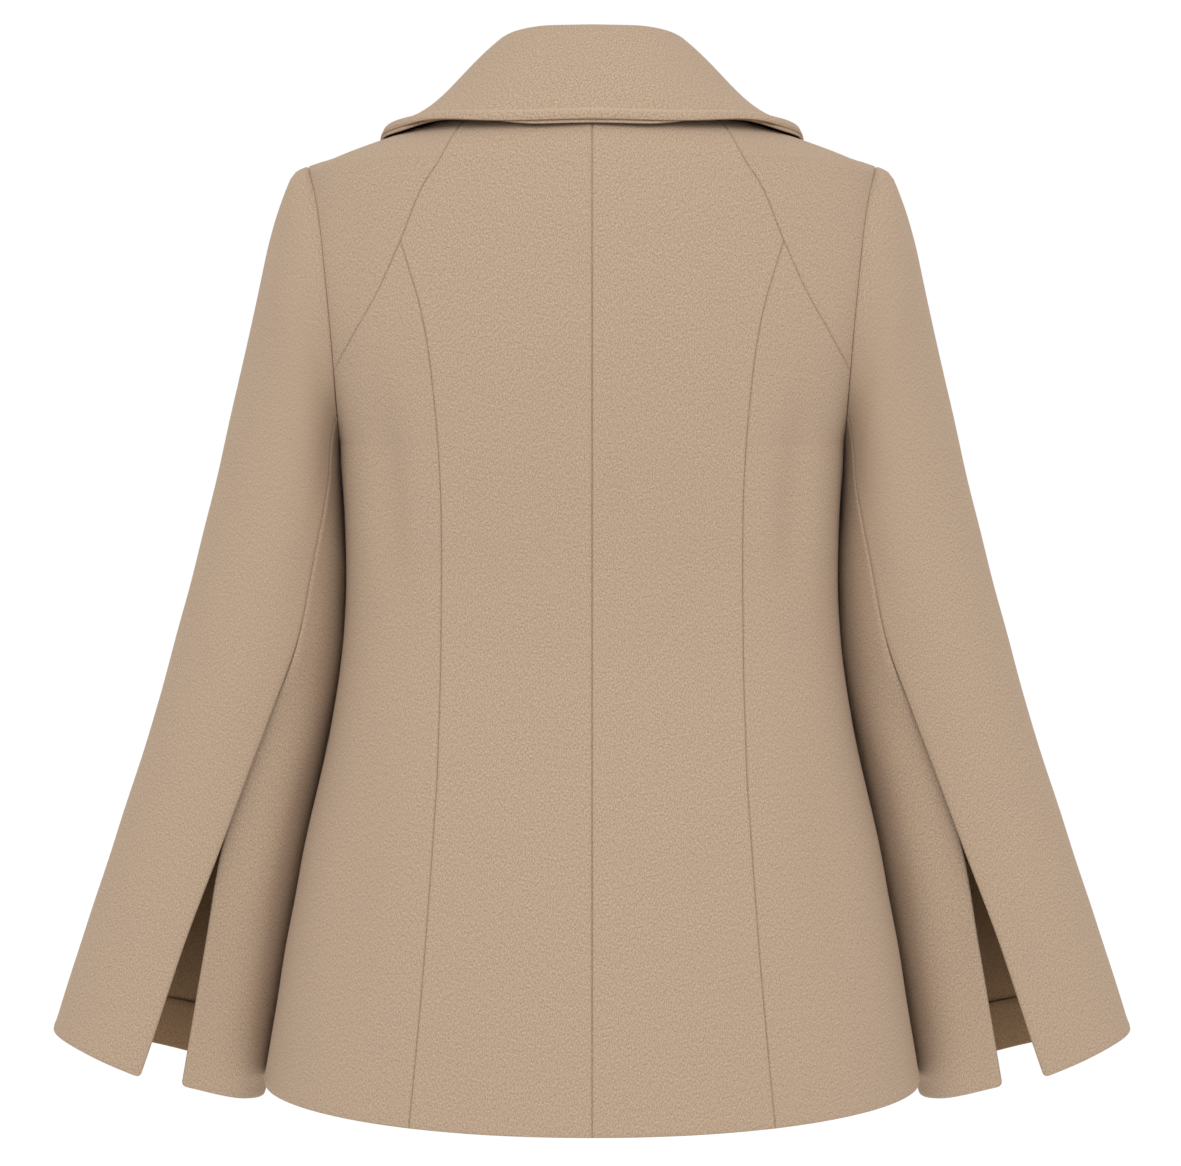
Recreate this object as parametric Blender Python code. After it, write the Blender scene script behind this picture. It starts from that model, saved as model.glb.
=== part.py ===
"""Peacoat in heavy wool, worn form and hollow: wide turned-down collar, flared sleeves with a
long open slit at the back seam, double-breasted front.

Metres, +Z up. The front faces -Y and the wearer's left is +X. The origin lies between the
shoulder points, at the height where the coat rests on the shoulders.
"""
import math

import bmesh
import bpy
from mathutils import Vector

# Driving dimensions of the coat
WALL = 0.0030
SEAM_GAP = 0.0003
ARMHOLE_GAP = 0.0004
LAYER_GAP = 0.0012
NECK_Z = 0.0300
TIP_X, TIP_Z = 0.1965, -0.0130
UNDERARM_X, UNDERARM_Z = 0.1750, -0.2050
HEM_Z = -0.6590
HEM_RISE = 0.0035
HEM_RISE_TOP_Z = -0.4500
ARMHOLE_BACK = 0.0700
ARMHOLE_FRONT = 0.0660
ARMHOLE_BOW = 0.0065

# Back seams: the diagonal ends on the armhole, and the princess seam starts on the diagonal
FORK_Z = -0.0693
DIAGONAL_END_Z = -0.1553
SEAM_TIP = 0.0030

# Double-breasted front, the wearer's right side over the left
OVERLAP = 0.0750
BREAK_Z = -0.2100
FRONT_TOP_Z = 0.0258
LAPEL_TOP_Z = -0.0130
LAPEL_TIP_X, LAPEL_TIP_Z = 0.1480, -0.0860
LAPEL_BELLY = 0.0060
LAPEL_BELLY_WAY = (0.45, -0.90)
GORGE_RISE = 0.0090
LAPEL_START = 0.07
LIFT_FULL_Z, LIFT_NONE_Z = -0.0860, -0.0200
LIFT_FULL_X, LIFT_NONE_X = 0.0830, 0.1700

# Collar: the stand rises to the roll, and the fall lies over the shoulders
TOP_COLLAR = 0.0025
UNDER_COLLAR = 0.0020
ROLL_RADIUS = 0.0070
COLLAR_SIDE = 0.55
COLLAR_GAP = 0.0013
COLLAR_FOOT = 0.0036
GORGE_Z = -0.0080
GORGE_INWARD = (-0.80, 0.0, 0.60)
UNDER_EDGE_SHOW = 0.0018
SHOW_FULL, SHOW_NONE = 0.12, 0.30

# Sleeves
FRONT_SEAM_TURN = 215.0
RECESS_TURN = 40.0
FACING_WALL = 0.0016
FACING_GAP = 0.0007
FACING_FROM, FACING_TO = 11.60, 11.98
FACING_FRONT_TURN, FACING_BACK_TURN = 4.0, 3.0

# Buttons
BUTTON_RADIUS = 0.0140
BUTTON_THICKNESS = 0.0042
BUTTON_X = 0.0540
BUTTON_STEPS = 18

# Panel meshes: columns across each panel, rows down it
COLUMNS = {"back_center": 8, "back_side": 6, "back_shoulder": 6, "front": 12, "top_sleeve": 15,
           "under_sleeve": 8}
NECK_ROWS_Z = (0.0300, 0.0258, 0.0180, 0.0100, 0.0015, -0.0068)
ARMHOLE_STEPS = 12
BODY_ROWS_Z = (-0.235, -0.265, -0.300, -0.335, -0.370, -0.405, -0.445, -0.490, -0.540, -0.600)
SLEEVE_ROWS = (0.0, 0.5, 1.0, 2.0, 3.0, 4.0, 5.0, 5.5, 6.0, 6.5, 7.0, 7.5, 8.0, 8.4, 9.2, 10.0, 11.0,
               11.6, 12.0)
COLLAR_STEPS = 14
LAPEL_ROWS, LAPEL_COLUMNS = 10, 6
TURN_STEP = 0.4
HEIGHT_STEP = 0.0005
ALONG_STEP = 0.04
ALONG_LEAST, ALONG_MOST = 0.05, 11.95


def table(columns, *rows):
    """Names the columns of a short table."""
    return {name: [row[place] for row in rows] for place, name in enumerate(columns.split())}


# Half sections of the body at each height
BODY = table(
    "z half_width back front power",
    (0.0300, 0.0750, 0.0750, 0.0620, 2.1),
    (0.0160, 0.1120, 0.0940, 0.0760, 2.1),
    (0.0015, 0.1533, 0.1120, 0.0880, 2.1),
    (-0.0080, 0.1805, 0.1170, 0.0930, 2.1),
    (-0.0130, 0.1965, 0.1185, 0.0960, 2.1),
    (-0.0600, 0.1960, 0.1250, 0.1120, 2.2),
    (-0.1200, 0.1900, 0.1265, 0.1260, 2.4),
    (-0.2050, 0.1750, 0.1190, 0.1340, 2.5),
    (-0.2550, 0.1719, 0.1115, 0.1300, 2.5),
    (-0.2960, 0.1710, 0.1070, 0.1230, 2.4),
    (-0.3370, 0.1730, 0.1060, 0.1190, 2.4),
    (-0.3985, 0.1821, 0.1150, 0.1215, 2.4),
    (-0.4703, 0.1972, 0.1310, 0.1300, 2.3),
    (-0.5448, 0.2114, 0.1450, 0.1390, 2.2),
    (-0.6590, 0.2313, 0.1610, 0.1500, 2.1),
)

# Back seams, as the distance from the centre back at each height
DIAGONAL = table(
    "z x",
    (0.0300, 0.0600),
    (0.0100, 0.0870),
    (-0.0174, 0.1024),
    (-0.0327, 0.1124),
    (-0.0693, 0.1277),
    (-0.1058, 0.1450),
    (-0.1240, 0.1560),
    (-0.1553, 0.1755),
)
PRINCESS = table(
    "z x",
    (-0.0693, 0.1277),
    (-0.0911, 0.1208),
    (-0.1083, 0.1155),
    (-0.1301, 0.1109),
    (-0.1585, 0.1070),
    (-0.2060, 0.1029),
    (-0.2548, 0.1011),
    (-0.3083, 0.1016),
    (-0.4130, 0.1036),
    (-0.5235, 0.1102),
    (-0.6590, 0.1218),
)

# Sleeve sections, each through an outer and an inner point, with the middle's shift along Y. The
# turns are degrees round the section from its outer point towards the back: the back seam, and
# the under panel's slit edge, which falls back into the sleeve by the recess
SLEEVE = table(
    "along outer_x outer_z inner_x inner_z shift back front seam edge recess",
    (0.0, 0.1965, -0.0130, 0.1750, -0.2050, 0.0000, 0.0700, 0.0660, 143.0, 143.0, 0.0),
    (1.0, 0.2062, -0.0180, 0.1753, -0.2080, 0.0000, 0.0705, 0.0665, 144.0, 144.0, 0.0),
    (2.0, 0.2149, -0.0355, 0.1757, -0.2150, -0.0010, 0.0705, 0.0670, 145.0, 145.0, 0.0),
    (3.0, 0.2233, -0.0630, 0.1758, -0.2260, -0.0020, 0.0700, 0.0670, 145.0, 145.0, 0.0),
    (4.0, 0.2303, -0.0910, 0.1755, -0.2400, -0.0040, 0.0690, 0.0665, 143.5, 143.5, 0.0),
    (5.0, 0.2401, -0.1330, 0.1742, -0.2620, -0.0070, 0.0675, 0.0655, 136.5, 136.5, 0.0),
    (6.0, 0.2508, -0.1750, 0.1729, -0.2900, -0.0100, 0.0660, 0.0645, 128.5, 128.5, 0.0),
    (7.0, 0.2678, -0.2450, 0.1742, -0.3400, -0.0140, 0.0640, 0.0630, 121.0, 121.0, 0.0),
    (7.5, 0.2769, -0.2800, 0.1771, -0.3650, -0.0155, 0.0630, 0.0625, 118.6, 118.8, 0.0),
    (8.4, 0.2941, -0.3434, 0.1860, -0.4120, -0.0180, 0.0620, 0.0615, 111.2, 111.8, 0.0042),
    (9.2, 0.3104, -0.3998, 0.1958, -0.4570, -0.0200, 0.0610, 0.0610, 105.0, 102.9, 0.0062),
    (10.0, 0.3289, -0.4562, 0.2054, -0.5060, -0.0210, 0.0600, 0.0605, 99.4, 100.6, 0.0075),
    (11.0, 0.3529, -0.5280, 0.2182, -0.5740, -0.0220, 0.0590, 0.0600, 92.3, 105.0, 0.0090),
    (12.0, 0.3844, -0.6225, 0.2342, -0.6665, -0.0220, 0.0580, 0.0595, 85.7, 108.8, 0.0100),
)

# Button rows, with how far a flat button stands off the front's curve
BUTTONS = table(
    "z seat",
    (-0.2400, 0.0003),
    (-0.3400, 0.0010),
    (-0.4400, 0.0004),
)

# Collar sections from the centre back to the gorge: the centre of the roll, where the outer edge
# lies on the body, as degrees round it from the centre back and a height, how far it lies off,
# and how much the fall swells on its way down
COLLAR = table(
    "around roll_x roll_y roll_z edge_turn edge_z off swell",
    (0.00, 0.0000, 0.0600, 0.0685, 0.0, 0.0035, 0.0013, 0.002),
    (0.15, 0.0285, 0.0550, 0.0685, 24.0, 0.0035, 0.0013, 0.001),
    (0.30, 0.0480, 0.0380, 0.0675, 46.0, 0.0035, 0.0013, -0.006),
    (0.45, 0.0595, 0.0150, 0.0640, 70.0, 0.0035, 0.0016, -0.013),
    (0.55, 0.0630, -0.0050, 0.0605, 90.0, 0.0050, 0.0024, -0.015),
    (0.70, 0.0655, -0.0320, 0.0495, 124.0, -0.0080, 0.0046, -0.010),
    (0.85, 0.0620, -0.0640, 0.0260, 132.5, -0.0350, 0.0038, -0.004),
    (1.00, 0.0490, -0.0960, 0.0010, 138.0, -0.0660, 0.0016, 0.0),
)


def read(rows, name, at):
    """Reads a column smoothly, without overshoot, at a place along the table's first column."""
    keys = list(rows.values())[0]
    values = rows[name]
    if keys[0] > keys[-1]:
        keys = [-key for key in keys]
        at = -at
    last = len(keys) - 1
    if at <= keys[0]:
        return values[0]
    if at >= keys[last]:
        return values[last]
    spans = [keys[i + 1] - keys[i] for i in range(last)]
    slopes = [(values[i + 1] - values[i]) / spans[i] for i in range(last)]
    leans = [slopes[0]]
    for i in range(1, last):
        if slopes[i - 1] * slopes[i] <= 0.0:
            leans.append(0.0)
        else:
            before = 2.0 * spans[i] + spans[i - 1]
            after = spans[i] + 2.0 * spans[i - 1]
            leans.append((before + after) / (before / slopes[i - 1] + after / slopes[i]))
    leans.append(slopes[-1])
    i = max(place for place in range(last) if keys[place] <= at)
    t = (at - keys[i]) / spans[i]
    start = (1.0 + 2.0 * t) * (1.0 - t) ** 2 * values[i] + t * t * (3.0 - 2.0 * t) * values[i + 1]
    bend = t * (1.0 - t) ** 2 * leans[i] - t * t * (1.0 - t) * leans[i + 1]
    return start + bend * spans[i]


def ease(value, start, end):
    """Runs smoothly from 0 at start to 1 at end."""
    t = min(max((value - start) / (end - start), 0.0), 1.0)
    return t * t * (3.0 - 2.0 * t)


def signed_power(value, power):
    return math.copysign(abs(value) ** power, value)


def armhole_turn(z):
    """The turn round the armhole, from the shoulder tip, that lies at a height."""
    middle = (TIP_Z + UNDERARM_Z) / 2.0
    reach = (TIP_Z - UNDERARM_Z) / 2.0
    return math.degrees(math.acos(min(max((z - middle) / reach, -1.0), 1.0)))


def armhole_point(turn):
    """A point of the armhole seam: 0 at the shoulder tip, 90 at the back, 180 at the underarm."""
    c = math.cos(math.radians(turn))
    s = math.sin(math.radians(turn))
    depth = ARMHOLE_BACK if s > 0.0 else ARMHOLE_FRONT
    x = (TIP_X + UNDERARM_X) / 2.0 + (TIP_X - UNDERARM_X) / 2.0 * c - ARMHOLE_BOW * s * s
    z = (TIP_Z + UNDERARM_Z) / 2.0 + (TIP_Z - UNDERARM_Z) / 2.0 * c
    return Vector((x, depth * s, z))


def armhole_inward(turn):
    """The way from the seam to the middle of the armhole, along which both walls end."""
    middle = Vector(((TIP_X + UNDERARM_X) / 2.0, 0.0, (TIP_Z + UNDERARM_Z) / 2.0))
    return (middle - armhole_point(turn)).normalized()


def body_width(z, at_back):
    """Half width of the body's section. Beside the armhole it runs through the armhole seam."""
    if z >= TIP_Z or z <= UNDERARM_Z:
        return read(BODY, "half_width", z)
    turn = armhole_turn(z)
    point = armhole_point(turn if at_back else -turn)
    depth = read(BODY, "back" if at_back else "front", z)
    power = read(BODY, "power", z)
    return point.x / (1.0 - (abs(point.y) / depth) ** power) ** (1.0 / power)


def body_point(turn, z):
    """A point on the body's outside: 0 at the centre back, 90 at the side, 180 at the front."""
    c = math.cos(math.radians(turn))
    s = math.sin(math.radians(turn))
    power = 2.0 / read(BODY, "power", z)
    depth = read(BODY, "back" if c > 0.0 else "front", z)
    width = body_width(z, c > 0.0)
    rise = HEM_RISE * s * s * ease(-z, -HEM_RISE_TOP_Z, -HEM_Z)
    return Vector((width * signed_power(s, power), depth * signed_power(c, power), z + rise))


def normal_of(surface, u, v, step_u, step_v):
    across = surface(u + step_u, v) - surface(u - step_u, v)
    along = surface(u, v + step_v) - surface(u, v - step_v)
    return along.cross(across).normalized()


def body_normal(turn, z):
    """The outward direction of the body's surface."""
    z = min(max(z, HEM_Z + HEIGHT_STEP), NECK_Z - HEIGHT_STEP)
    for edge in (TIP_Z, UNDERARM_Z):
        if abs(z - edge) < HEIGHT_STEP:
            z = edge + HEIGHT_STEP * 1.1
    return normal_of(body_point, turn, z, TURN_STEP, HEIGHT_STEP)


def turn_at(x, z, at_back):
    """The turn round the body where it is a given distance from the centre."""
    share = min(abs(x) / body_width(z, at_back), 1.0) ** (read(BODY, "power", z) / 2.0)
    turn = math.copysign(math.degrees(math.asin(share)), x)
    return turn if at_back else 180.0 - turn


def spread(path, start, end, count, samples=36):
    """Places along a path, evenly spaced by length between two of its parameters."""
    places = [start + (end - start) * i / samples for i in range(samples + 1)]
    points = [path(place) for place in places]
    lengths = [0.0]
    for i in range(samples):
        lengths.append(lengths[-1] + (points[i + 1] - points[i]).length)
    result = []
    for step in range(count + 1):
        target = lengths[-1] * step / count
        i = max(place for place in range(samples) if lengths[place] <= target + 1e-12)
        share = (target - lengths[i]) / max(lengths[i + 1] - lengths[i], 1e-12)
        result.append(places[i] + (places[i + 1] - places[i]) * min(share, 1.0))
    return result


def pull_in(grid, left=True, right=True):
    """Moves the side edges of a panel half a seam gap towards its middle."""
    for row in grid:
        if left:
            row[0] = row[0] + (row[1] - row[0]).normalized() * (SEAM_GAP / 2.0)
        if right:
            row[-1] = row[-1] + (row[-2] - row[-1]).normalized() * (SEAM_GAP / 2.0)


def material(name, colour, roughness):
    found = bpy.data.materials.get(name)
    if found:
        return found
    made = bpy.data.materials.new(name)
    made.use_nodes = True
    shader = made.node_tree.nodes["Principled BSDF"]
    shader.inputs["Base Color"].default_value = (*colour, 1.0)
    shader.inputs["Roughness"].default_value = roughness
    shader.inputs["Metallic"].default_value = 0.0
    made.diffuse_color = (*colour, 1.0)
    return made


def wool():
    return material("wool_melton", (0.47, 0.34, 0.24), 0.92)


def wool_inside():
    return material("wool_inside", (0.20, 0.12, 0.07), 0.95)


def horn():
    return material("button_horn", (0.16, 0.09, 0.05), 0.35)


def add_object(name, bm, finish):
    bmesh.ops.recalc_face_normals(bm, faces=bm.faces)
    mesh = bpy.data.meshes.new(name)
    bm.to_mesh(mesh)
    bm.free()
    mesh.shade_smooth()
    mesh.set_sharp_from_angle(angle=math.radians(40.0))
    mesh.materials.append(finish)
    made = bpy.data.objects.new(name, mesh)
    bpy.context.scene.collection.objects.link(made)
    return made


def add_wall(name, outer, inner, finish, mirror=1.0):
    """A closed wall between an outer and an inner grid of points."""
    rows = len(outer)
    columns = len(outer[0])
    bm = bmesh.new()
    bmesh.ops.create_grid(bm, x_segments=columns - 1, y_segments=rows - 1, size=1.0)
    place = bm.verts.layers.int.new("place")
    for index, vert in enumerate(bm.verts):
        vert[place] = index
        vert.co = outer[index // columns][index % columns]
    backs = bmesh.ops.extrude_face_region(bm, geom=bm.faces[:])["geom"]
    for vert in backs:
        if isinstance(vert, bmesh.types.BMVert):
            vert.co = inner[vert[place] // columns][vert[place] % columns]
    for vert in bm.verts:
        vert.co.x *= mirror
    return add_object(name, bm, finish)


def body_rows():
    """Heights shared by every body panel, so that the panels' edges match along the seams."""
    step = 180.0 / ARMHOLE_STEPS
    heights = [armhole_point(i * step).z for i in range(ARMHOLE_STEPS + 1)]
    corners = [FORK_Z, FORK_Z - SEAM_TIP, DIAGONAL_END_Z + SEAM_TIP, DIAGONAL_END_Z]
    heights = [z for z in heights if min(abs(z - corner) for corner in corners) > SEAM_TIP * 0.7]
    return sorted({*NECK_ROWS_Z, *heights, *corners, *BODY_ROWS_Z, HEM_Z}, reverse=True)


def outer_edge(z, at_back):
    """Where a panel ends at the side: the shoulder ridge, the armhole or the side seam."""
    if z >= TIP_Z or z <= UNDERARM_Z:
        return 90.0
    turn = armhole_turn(z)
    return turn_at(armhole_point(turn if at_back else -turn).x, z, at_back)


def body_panel(piece, side, heights, start, end, at_back, mirror, lift=None, armhole=None):
    """A wall on the body between two turns. Its armhole edge, if any, ends on the armhole."""
    outer = []
    normals = []
    for z in heights:
        turns = spread(lambda turn: body_point(turn, z), start(z), end(z), COLUMNS[piece])
        outer.append([body_point(turn, z) for turn in turns])
        normals.append([body_normal(turn, z) for turn in turns])
        if lift:
            for place, point in enumerate(outer[-1]):
                outer[-1][place] = point + normals[-1][place] * lift(point.x, z)
    pull_in(outer)
    inner = [[p - n * WALL for p, n in zip(*pair)] for pair in zip(outer, normals)]
    for row, z in enumerate(heights):
        if armhole and armhole(z):
            turn = armhole_turn(z) * (1.0 if at_back else -1.0)
            outer[row][-1].x -= ARMHOLE_GAP / 2.0
            inner[row][-1] = outer[row][-1] + armhole_inward(turn) * WALL
    add_wall(f"{piece}_{side}", outer, inner, wool(), mirror)


def back_center(side, mirror):
    """The panel from the centre-back seam to the diagonal and princess seams."""
    def far(z):
        seam = DIAGONAL if z >= FORK_Z else PRINCESS
        return turn_at(read(seam, "x", z), z, True)
    body_panel("back_center", side, body_rows(), lambda z: 0.0, far, True, mirror)


def back_side(side, mirror):
    """The panel below the diagonal seam, from the princess seam to the armhole and side seam."""
    heights = [z for z in body_rows() if z < FORK_Z - 1e-6]

    def near(z):
        return turn_at(read(PRINCESS, "x", z), z, True)

    def far(z):
        if z > DIAGONAL_END_Z:
            return turn_at(read(DIAGONAL, "x", z), z, True)
        return outer_edge(z, True)

    def armhole(z):
        return UNDERARM_Z - 1e-6 <= z <= DIAGONAL_END_Z + 1e-6
    body_panel("back_side", side, heights, near, far, True, mirror, armhole=armhole)


def back_shoulder(side, mirror):
    """The panel above the diagonal seam, up to the shoulder seam and the armhole."""
    heights = [z for z in body_rows() if z > DIAGONAL_END_Z + 1e-6]

    def near(z):
        return turn_at(read(DIAGONAL, "x", z), z, True)

    def far(z):
        return outer_edge(z, True)
    body_panel("back_shoulder", side, heights, near, far, True, mirror,
               armhole=lambda z: z <= TIP_Z + 1e-6)


def roll_line_x(z):
    """Distance of the lapel's roll line, or below it of the front edge, from the centre."""
    share = (z - BREAK_Z) / (NECK_Z - BREAK_Z)
    neck_x = BODY["half_width"][0]
    return -OVERLAP + (neck_x + OVERLAP) * max(share, 0.0)


def over_lift(x, z):
    """How far the upper front stands off the under front, and off the lapel under it."""
    across = 1.0 - ease(x, LIFT_FULL_X, LIFT_NONE_X)
    below_neck = 1.0 - ease(z, LIFT_FULL_Z, LIFT_NONE_Z)
    return 2.0 * (WALL + LAYER_GAP) * across * below_neck


def front(side, mirror, lift):
    """A front, from the shoulder seam, armhole and side seam to the roll line and front edge."""
    heights = [z for z in body_rows() if z < FRONT_TOP_Z + 1e-6]

    def near(z):
        return turn_at(roll_line_x(z), z, False)

    def far(z):
        return outer_edge(z, False)
    body_panel("front", side, heights, near, far, False, mirror, lift=lift,
               armhole=lambda z: UNDERARM_Z - 1e-6 <= z <= TIP_Z + 1e-6)


def front_point(x, z, lift):
    turn = turn_at(x, z, False)
    return body_point(turn, z) + body_normal(turn, z) * lift, body_normal(turn, z)


def lapel(side, mirror, lift):
    """The lapel lies on its front, folded back from the roll line to a tip at the gorge."""
    outer = []
    inner = []
    for row in range(LAPEL_ROWS + 1):
        v = LAPEL_START + (1.0 - LAPEL_START) * row / LAPEL_ROWS
        roll_z = BREAK_Z + (LAPEL_TOP_Z - BREAK_Z) * v
        roll = Vector((roll_line_x(roll_z), roll_z))
        start = Vector((-OVERLAP, BREAK_Z))
        tip = Vector((LAPEL_TIP_X, LAPEL_TIP_Z))
        belly = Vector(LAPEL_BELLY_WAY) * LAPEL_BELLY * math.sin(math.pi * v)
        edge = start.lerp(tip, v) + belly
        outer.append([])
        inner.append([])
        for column in range(LAPEL_COLUMNS + 1):
            u = column / LAPEL_COLUMNS
            flat = roll.lerp(edge, u)
            flat.y += GORGE_RISE * math.sin(math.pi * u) * v ** 4
            own = WALL + LAYER_GAP + (lift(flat.x, flat.y) if lift else 0.0)
            point, normal = front_point(flat.x, flat.y, own)
            outer[-1].append(point)
            inner[-1].append(point - normal * WALL)
    add_wall(f"lapel_{side}", outer, inner, wool(), mirror)


def sleeve_point(turn, along):
    """A point on the sleeve's outside, on the section at a place along the sleeve."""
    c = math.cos(math.radians(turn))
    s = math.sin(math.radians(turn))
    outer_x = read(SLEEVE, "outer_x", along)
    outer_z = read(SLEEVE, "outer_z", along)
    inner_x = read(SLEEVE, "inner_x", along)
    inner_z = read(SLEEVE, "inner_z", along)
    depth = read(SLEEVE, "back" if s > 0.0 else "front", along)
    bow = ARMHOLE_BOW * s * s * max(1.0 - along / 3.0, 0.0)
    x = (outer_x + inner_x) / 2.0 + (outer_x - inner_x) / 2.0 * c - bow
    z = (outer_z + inner_z) / 2.0 + (outer_z - inner_z) / 2.0 * c
    return Vector((x, depth * s + read(SLEEVE, "shift", along), z))


def sleeve_normal(turn, along):
    along = min(max(along, ALONG_LEAST), ALONG_MOST)
    return normal_of(sleeve_point, turn, along, TURN_STEP, ALONG_STEP)


def under_point(turn, along):
    """The under panel falls back into the sleeve beside the slit."""
    edge = read(SLEEVE, "edge", along)
    drop = read(SLEEVE, "recess", along) * (1.0 - ease(turn, edge, edge + RECESS_TURN))
    return sleeve_point(turn, along) - sleeve_normal(turn, along) * drop


def under_normal(turn, along):
    along = min(max(along, ALONG_LEAST), ALONG_MOST)
    return normal_of(under_point, turn, along, TURN_STEP, ALONG_STEP)


def sleeve_panel(piece, side, start, end, surface, direction, mirror):
    """A wall on the sleeve between two turns, ending on the armhole at the top."""
    outer = []
    normals = []
    for along in SLEEVE_ROWS:
        path = lambda turn: surface(turn, along)
        turns = spread(path, start(along), end(along), COLUMNS[piece])
        outer.append([surface(turn, along) for turn in turns])
        normals.append([direction(turn, along) for turn in turns])
        if along == 0.0:
            top_turns = turns
    pull_in(outer)
    inner = [[p - n * WALL for p, n in zip(*pair)] for pair in zip(outer, normals)]
    for place, turn in enumerate(top_turns):
        outer[0][place].x += ARMHOLE_GAP / 2.0
        inner[0][place] = outer[0][place] + armhole_inward(turn) * WALL
    add_wall(f"{piece}_{side}", outer, inner, wool(), mirror)


def top_sleeve(side, mirror):
    """The outer sleeve panel, from the front seam over the shoulder to the back seam and slit."""
    sleeve_panel("top_sleeve", side, lambda along: FRONT_SEAM_TURN - 360.0,
                 lambda along: read(SLEEVE, "seam", along), sleeve_point, sleeve_normal, mirror)


def under_sleeve(side, mirror):
    """The under sleeve panel, next to the body, with its free edge inside the slit."""
    sleeve_panel("under_sleeve", side, lambda along: read(SLEEVE, "edge", along),
                 lambda along: FRONT_SEAM_TURN, under_point, under_normal, mirror)


def sleeve_facing(side, mirror):
    """The turned-up hem inside the outer sleeve panel, which shows through the slit."""
    outer = []
    inner = []
    depth = WALL + FACING_GAP
    for along in (FACING_FROM, FACING_TO):
        start = FRONT_SEAM_TURN - 360.0 + FACING_FRONT_TURN
        end = read(SLEEVE, "seam", along) - FACING_BACK_TURN
        path = lambda turn: sleeve_point(turn, along)
        turns = spread(path, start, end, COLUMNS["top_sleeve"])
        pairs = [(sleeve_point(t, along), sleeve_normal(t, along)) for t in turns]
        outer.append([p - n * depth for p, n in pairs])
        inner.append([p - n * (depth + FACING_WALL) for p, n in pairs])
    add_wall(f"sleeve_hem_facing_{side}", outer, inner, wool_inside(), mirror)


def neckline_point(around):
    """The line that the collar's stand is sewn to, just above the edge of the body panels."""
    if around <= COLLAR_SIDE:
        turn = 90.0 * around / COLLAR_SIDE
        point = body_point(turn, NECK_Z)
        outward = Vector((point.x, point.y, 0.0)).normalized()
        return point - outward * (WALL / 2.0) + Vector((0.0, 0.0, COLLAR_GAP))
    share = (around - COLLAR_SIDE) / (1.0 - COLLAR_SIDE)
    z = NECK_Z + (GORGE_Z - NECK_Z) * share ** 1.6
    x = roll_line_x(z)
    turn = turn_at(x, z, False)
    point = body_point(turn, z)
    inward = Vector(GORGE_INWARD) * min(share * 6.0, 1.0)
    raised = Vector((0.0, 0.0, COLLAR_GAP))
    return point - body_normal(turn, z) * (WALL / 2.0) + inward * COLLAR_FOOT + raised


def clear_of_body(point, lift):
    """Moves a point outwards until it lies at least the lift away from the body."""
    if point.z > NECK_Z:
        return point
    at_back = point.y > 0.0
    power = read(BODY, "power", point.z)
    depth = read(BODY, "back" if at_back else "front", point.z)
    across = (abs(point.x) / body_width(point.z, at_back)) ** power
    share = (across + (abs(point.y) / depth) ** power) ** (1.0 / power)
    turn = turn_at(point.x / share, point.z, at_back)
    normal = body_normal(turn, point.z)
    gap = (point - body_point(turn, point.z)).dot(normal)
    return point + normal * max(lift - gap, 0.0)


def collar_profile(around):
    """The seam line between the two collar layers, from the stand over the roll to the edge."""
    foot = neckline_point(around)
    centre = Vector([read(COLLAR, name, around) for name in ("roll_x", "roll_y", "roll_z")])
    turn = read(COLLAR, "edge_turn", around)
    z = read(COLLAR, "edge_z", around)
    lift = UNDER_COLLAR + SEAM_GAP / 2.0 + read(COLLAR, "off", around)
    edge = body_point(turn, z) + body_normal(turn, z) * lift
    out = Vector((edge.x - foot.x, edge.y - foot.y, 0.0)).normalized()
    up = Vector((0.0, 0.0, 1.0))
    fall = edge - centre
    fall_angle = math.atan2(fall.z, fall.dot(out))
    lean = fall_angle + math.pi / 2.0
    points = []
    stand_top = centre - out * ROLL_RADIUS
    for share in (0.0, 0.35, 0.7):
        points.append(foot.lerp(stand_top, share))
    for step in range(5):
        angle = math.pi + (lean - math.pi) * step / 4.0
        points.append(centre + (out * math.cos(angle) + up * math.sin(angle)) * ROLL_RADIUS)
    start = points[-1]
    swell = (out * math.cos(lean) + up * math.sin(lean)) * read(COLLAR, "swell", around)
    for share in (0.28, 0.55, 0.8, 1.0):
        point = start.lerp(edge, share) + swell * math.sin(math.pi * share) * share
        points.append(clear_of_body(point, lift))
    return points, out


def collar_layer(name, inner_offset, outer_offset, show):
    """One layer of the collar, both sides of the centre back."""
    places = [step / COLLAR_STEPS for step in range(-COLLAR_STEPS, COLLAR_STEPS + 1)]
    near = []
    far = []
    for place in places:
        points, out = collar_profile(abs(place))
        up = Vector((0.0, 0.0, 1.0))
        if show:
            reach = show * (1.0 - ease(abs(place), SHOW_FULL, SHOW_NONE))
            points[-1] = points[-1] + (points[-1] - points[-2]).normalized() * reach
        near.append([])
        far.append([])
        for i, point in enumerate(points):
            before = points[max(i - 1, 0)]
            after = points[min(i + 1, len(points) - 1)]
            way = after - before
            normal = (up * way.dot(out) - out * way.z).normalized()
            for row, offset in ((near, inner_offset), (far, outer_offset)):
                moved = point + normal * offset
                row[-1].append(Vector((moved.x * (1.0 if place >= 0.0 else -1.0), moved.y, moved.z)))
    add_wall(name, far, near, wool())


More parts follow.
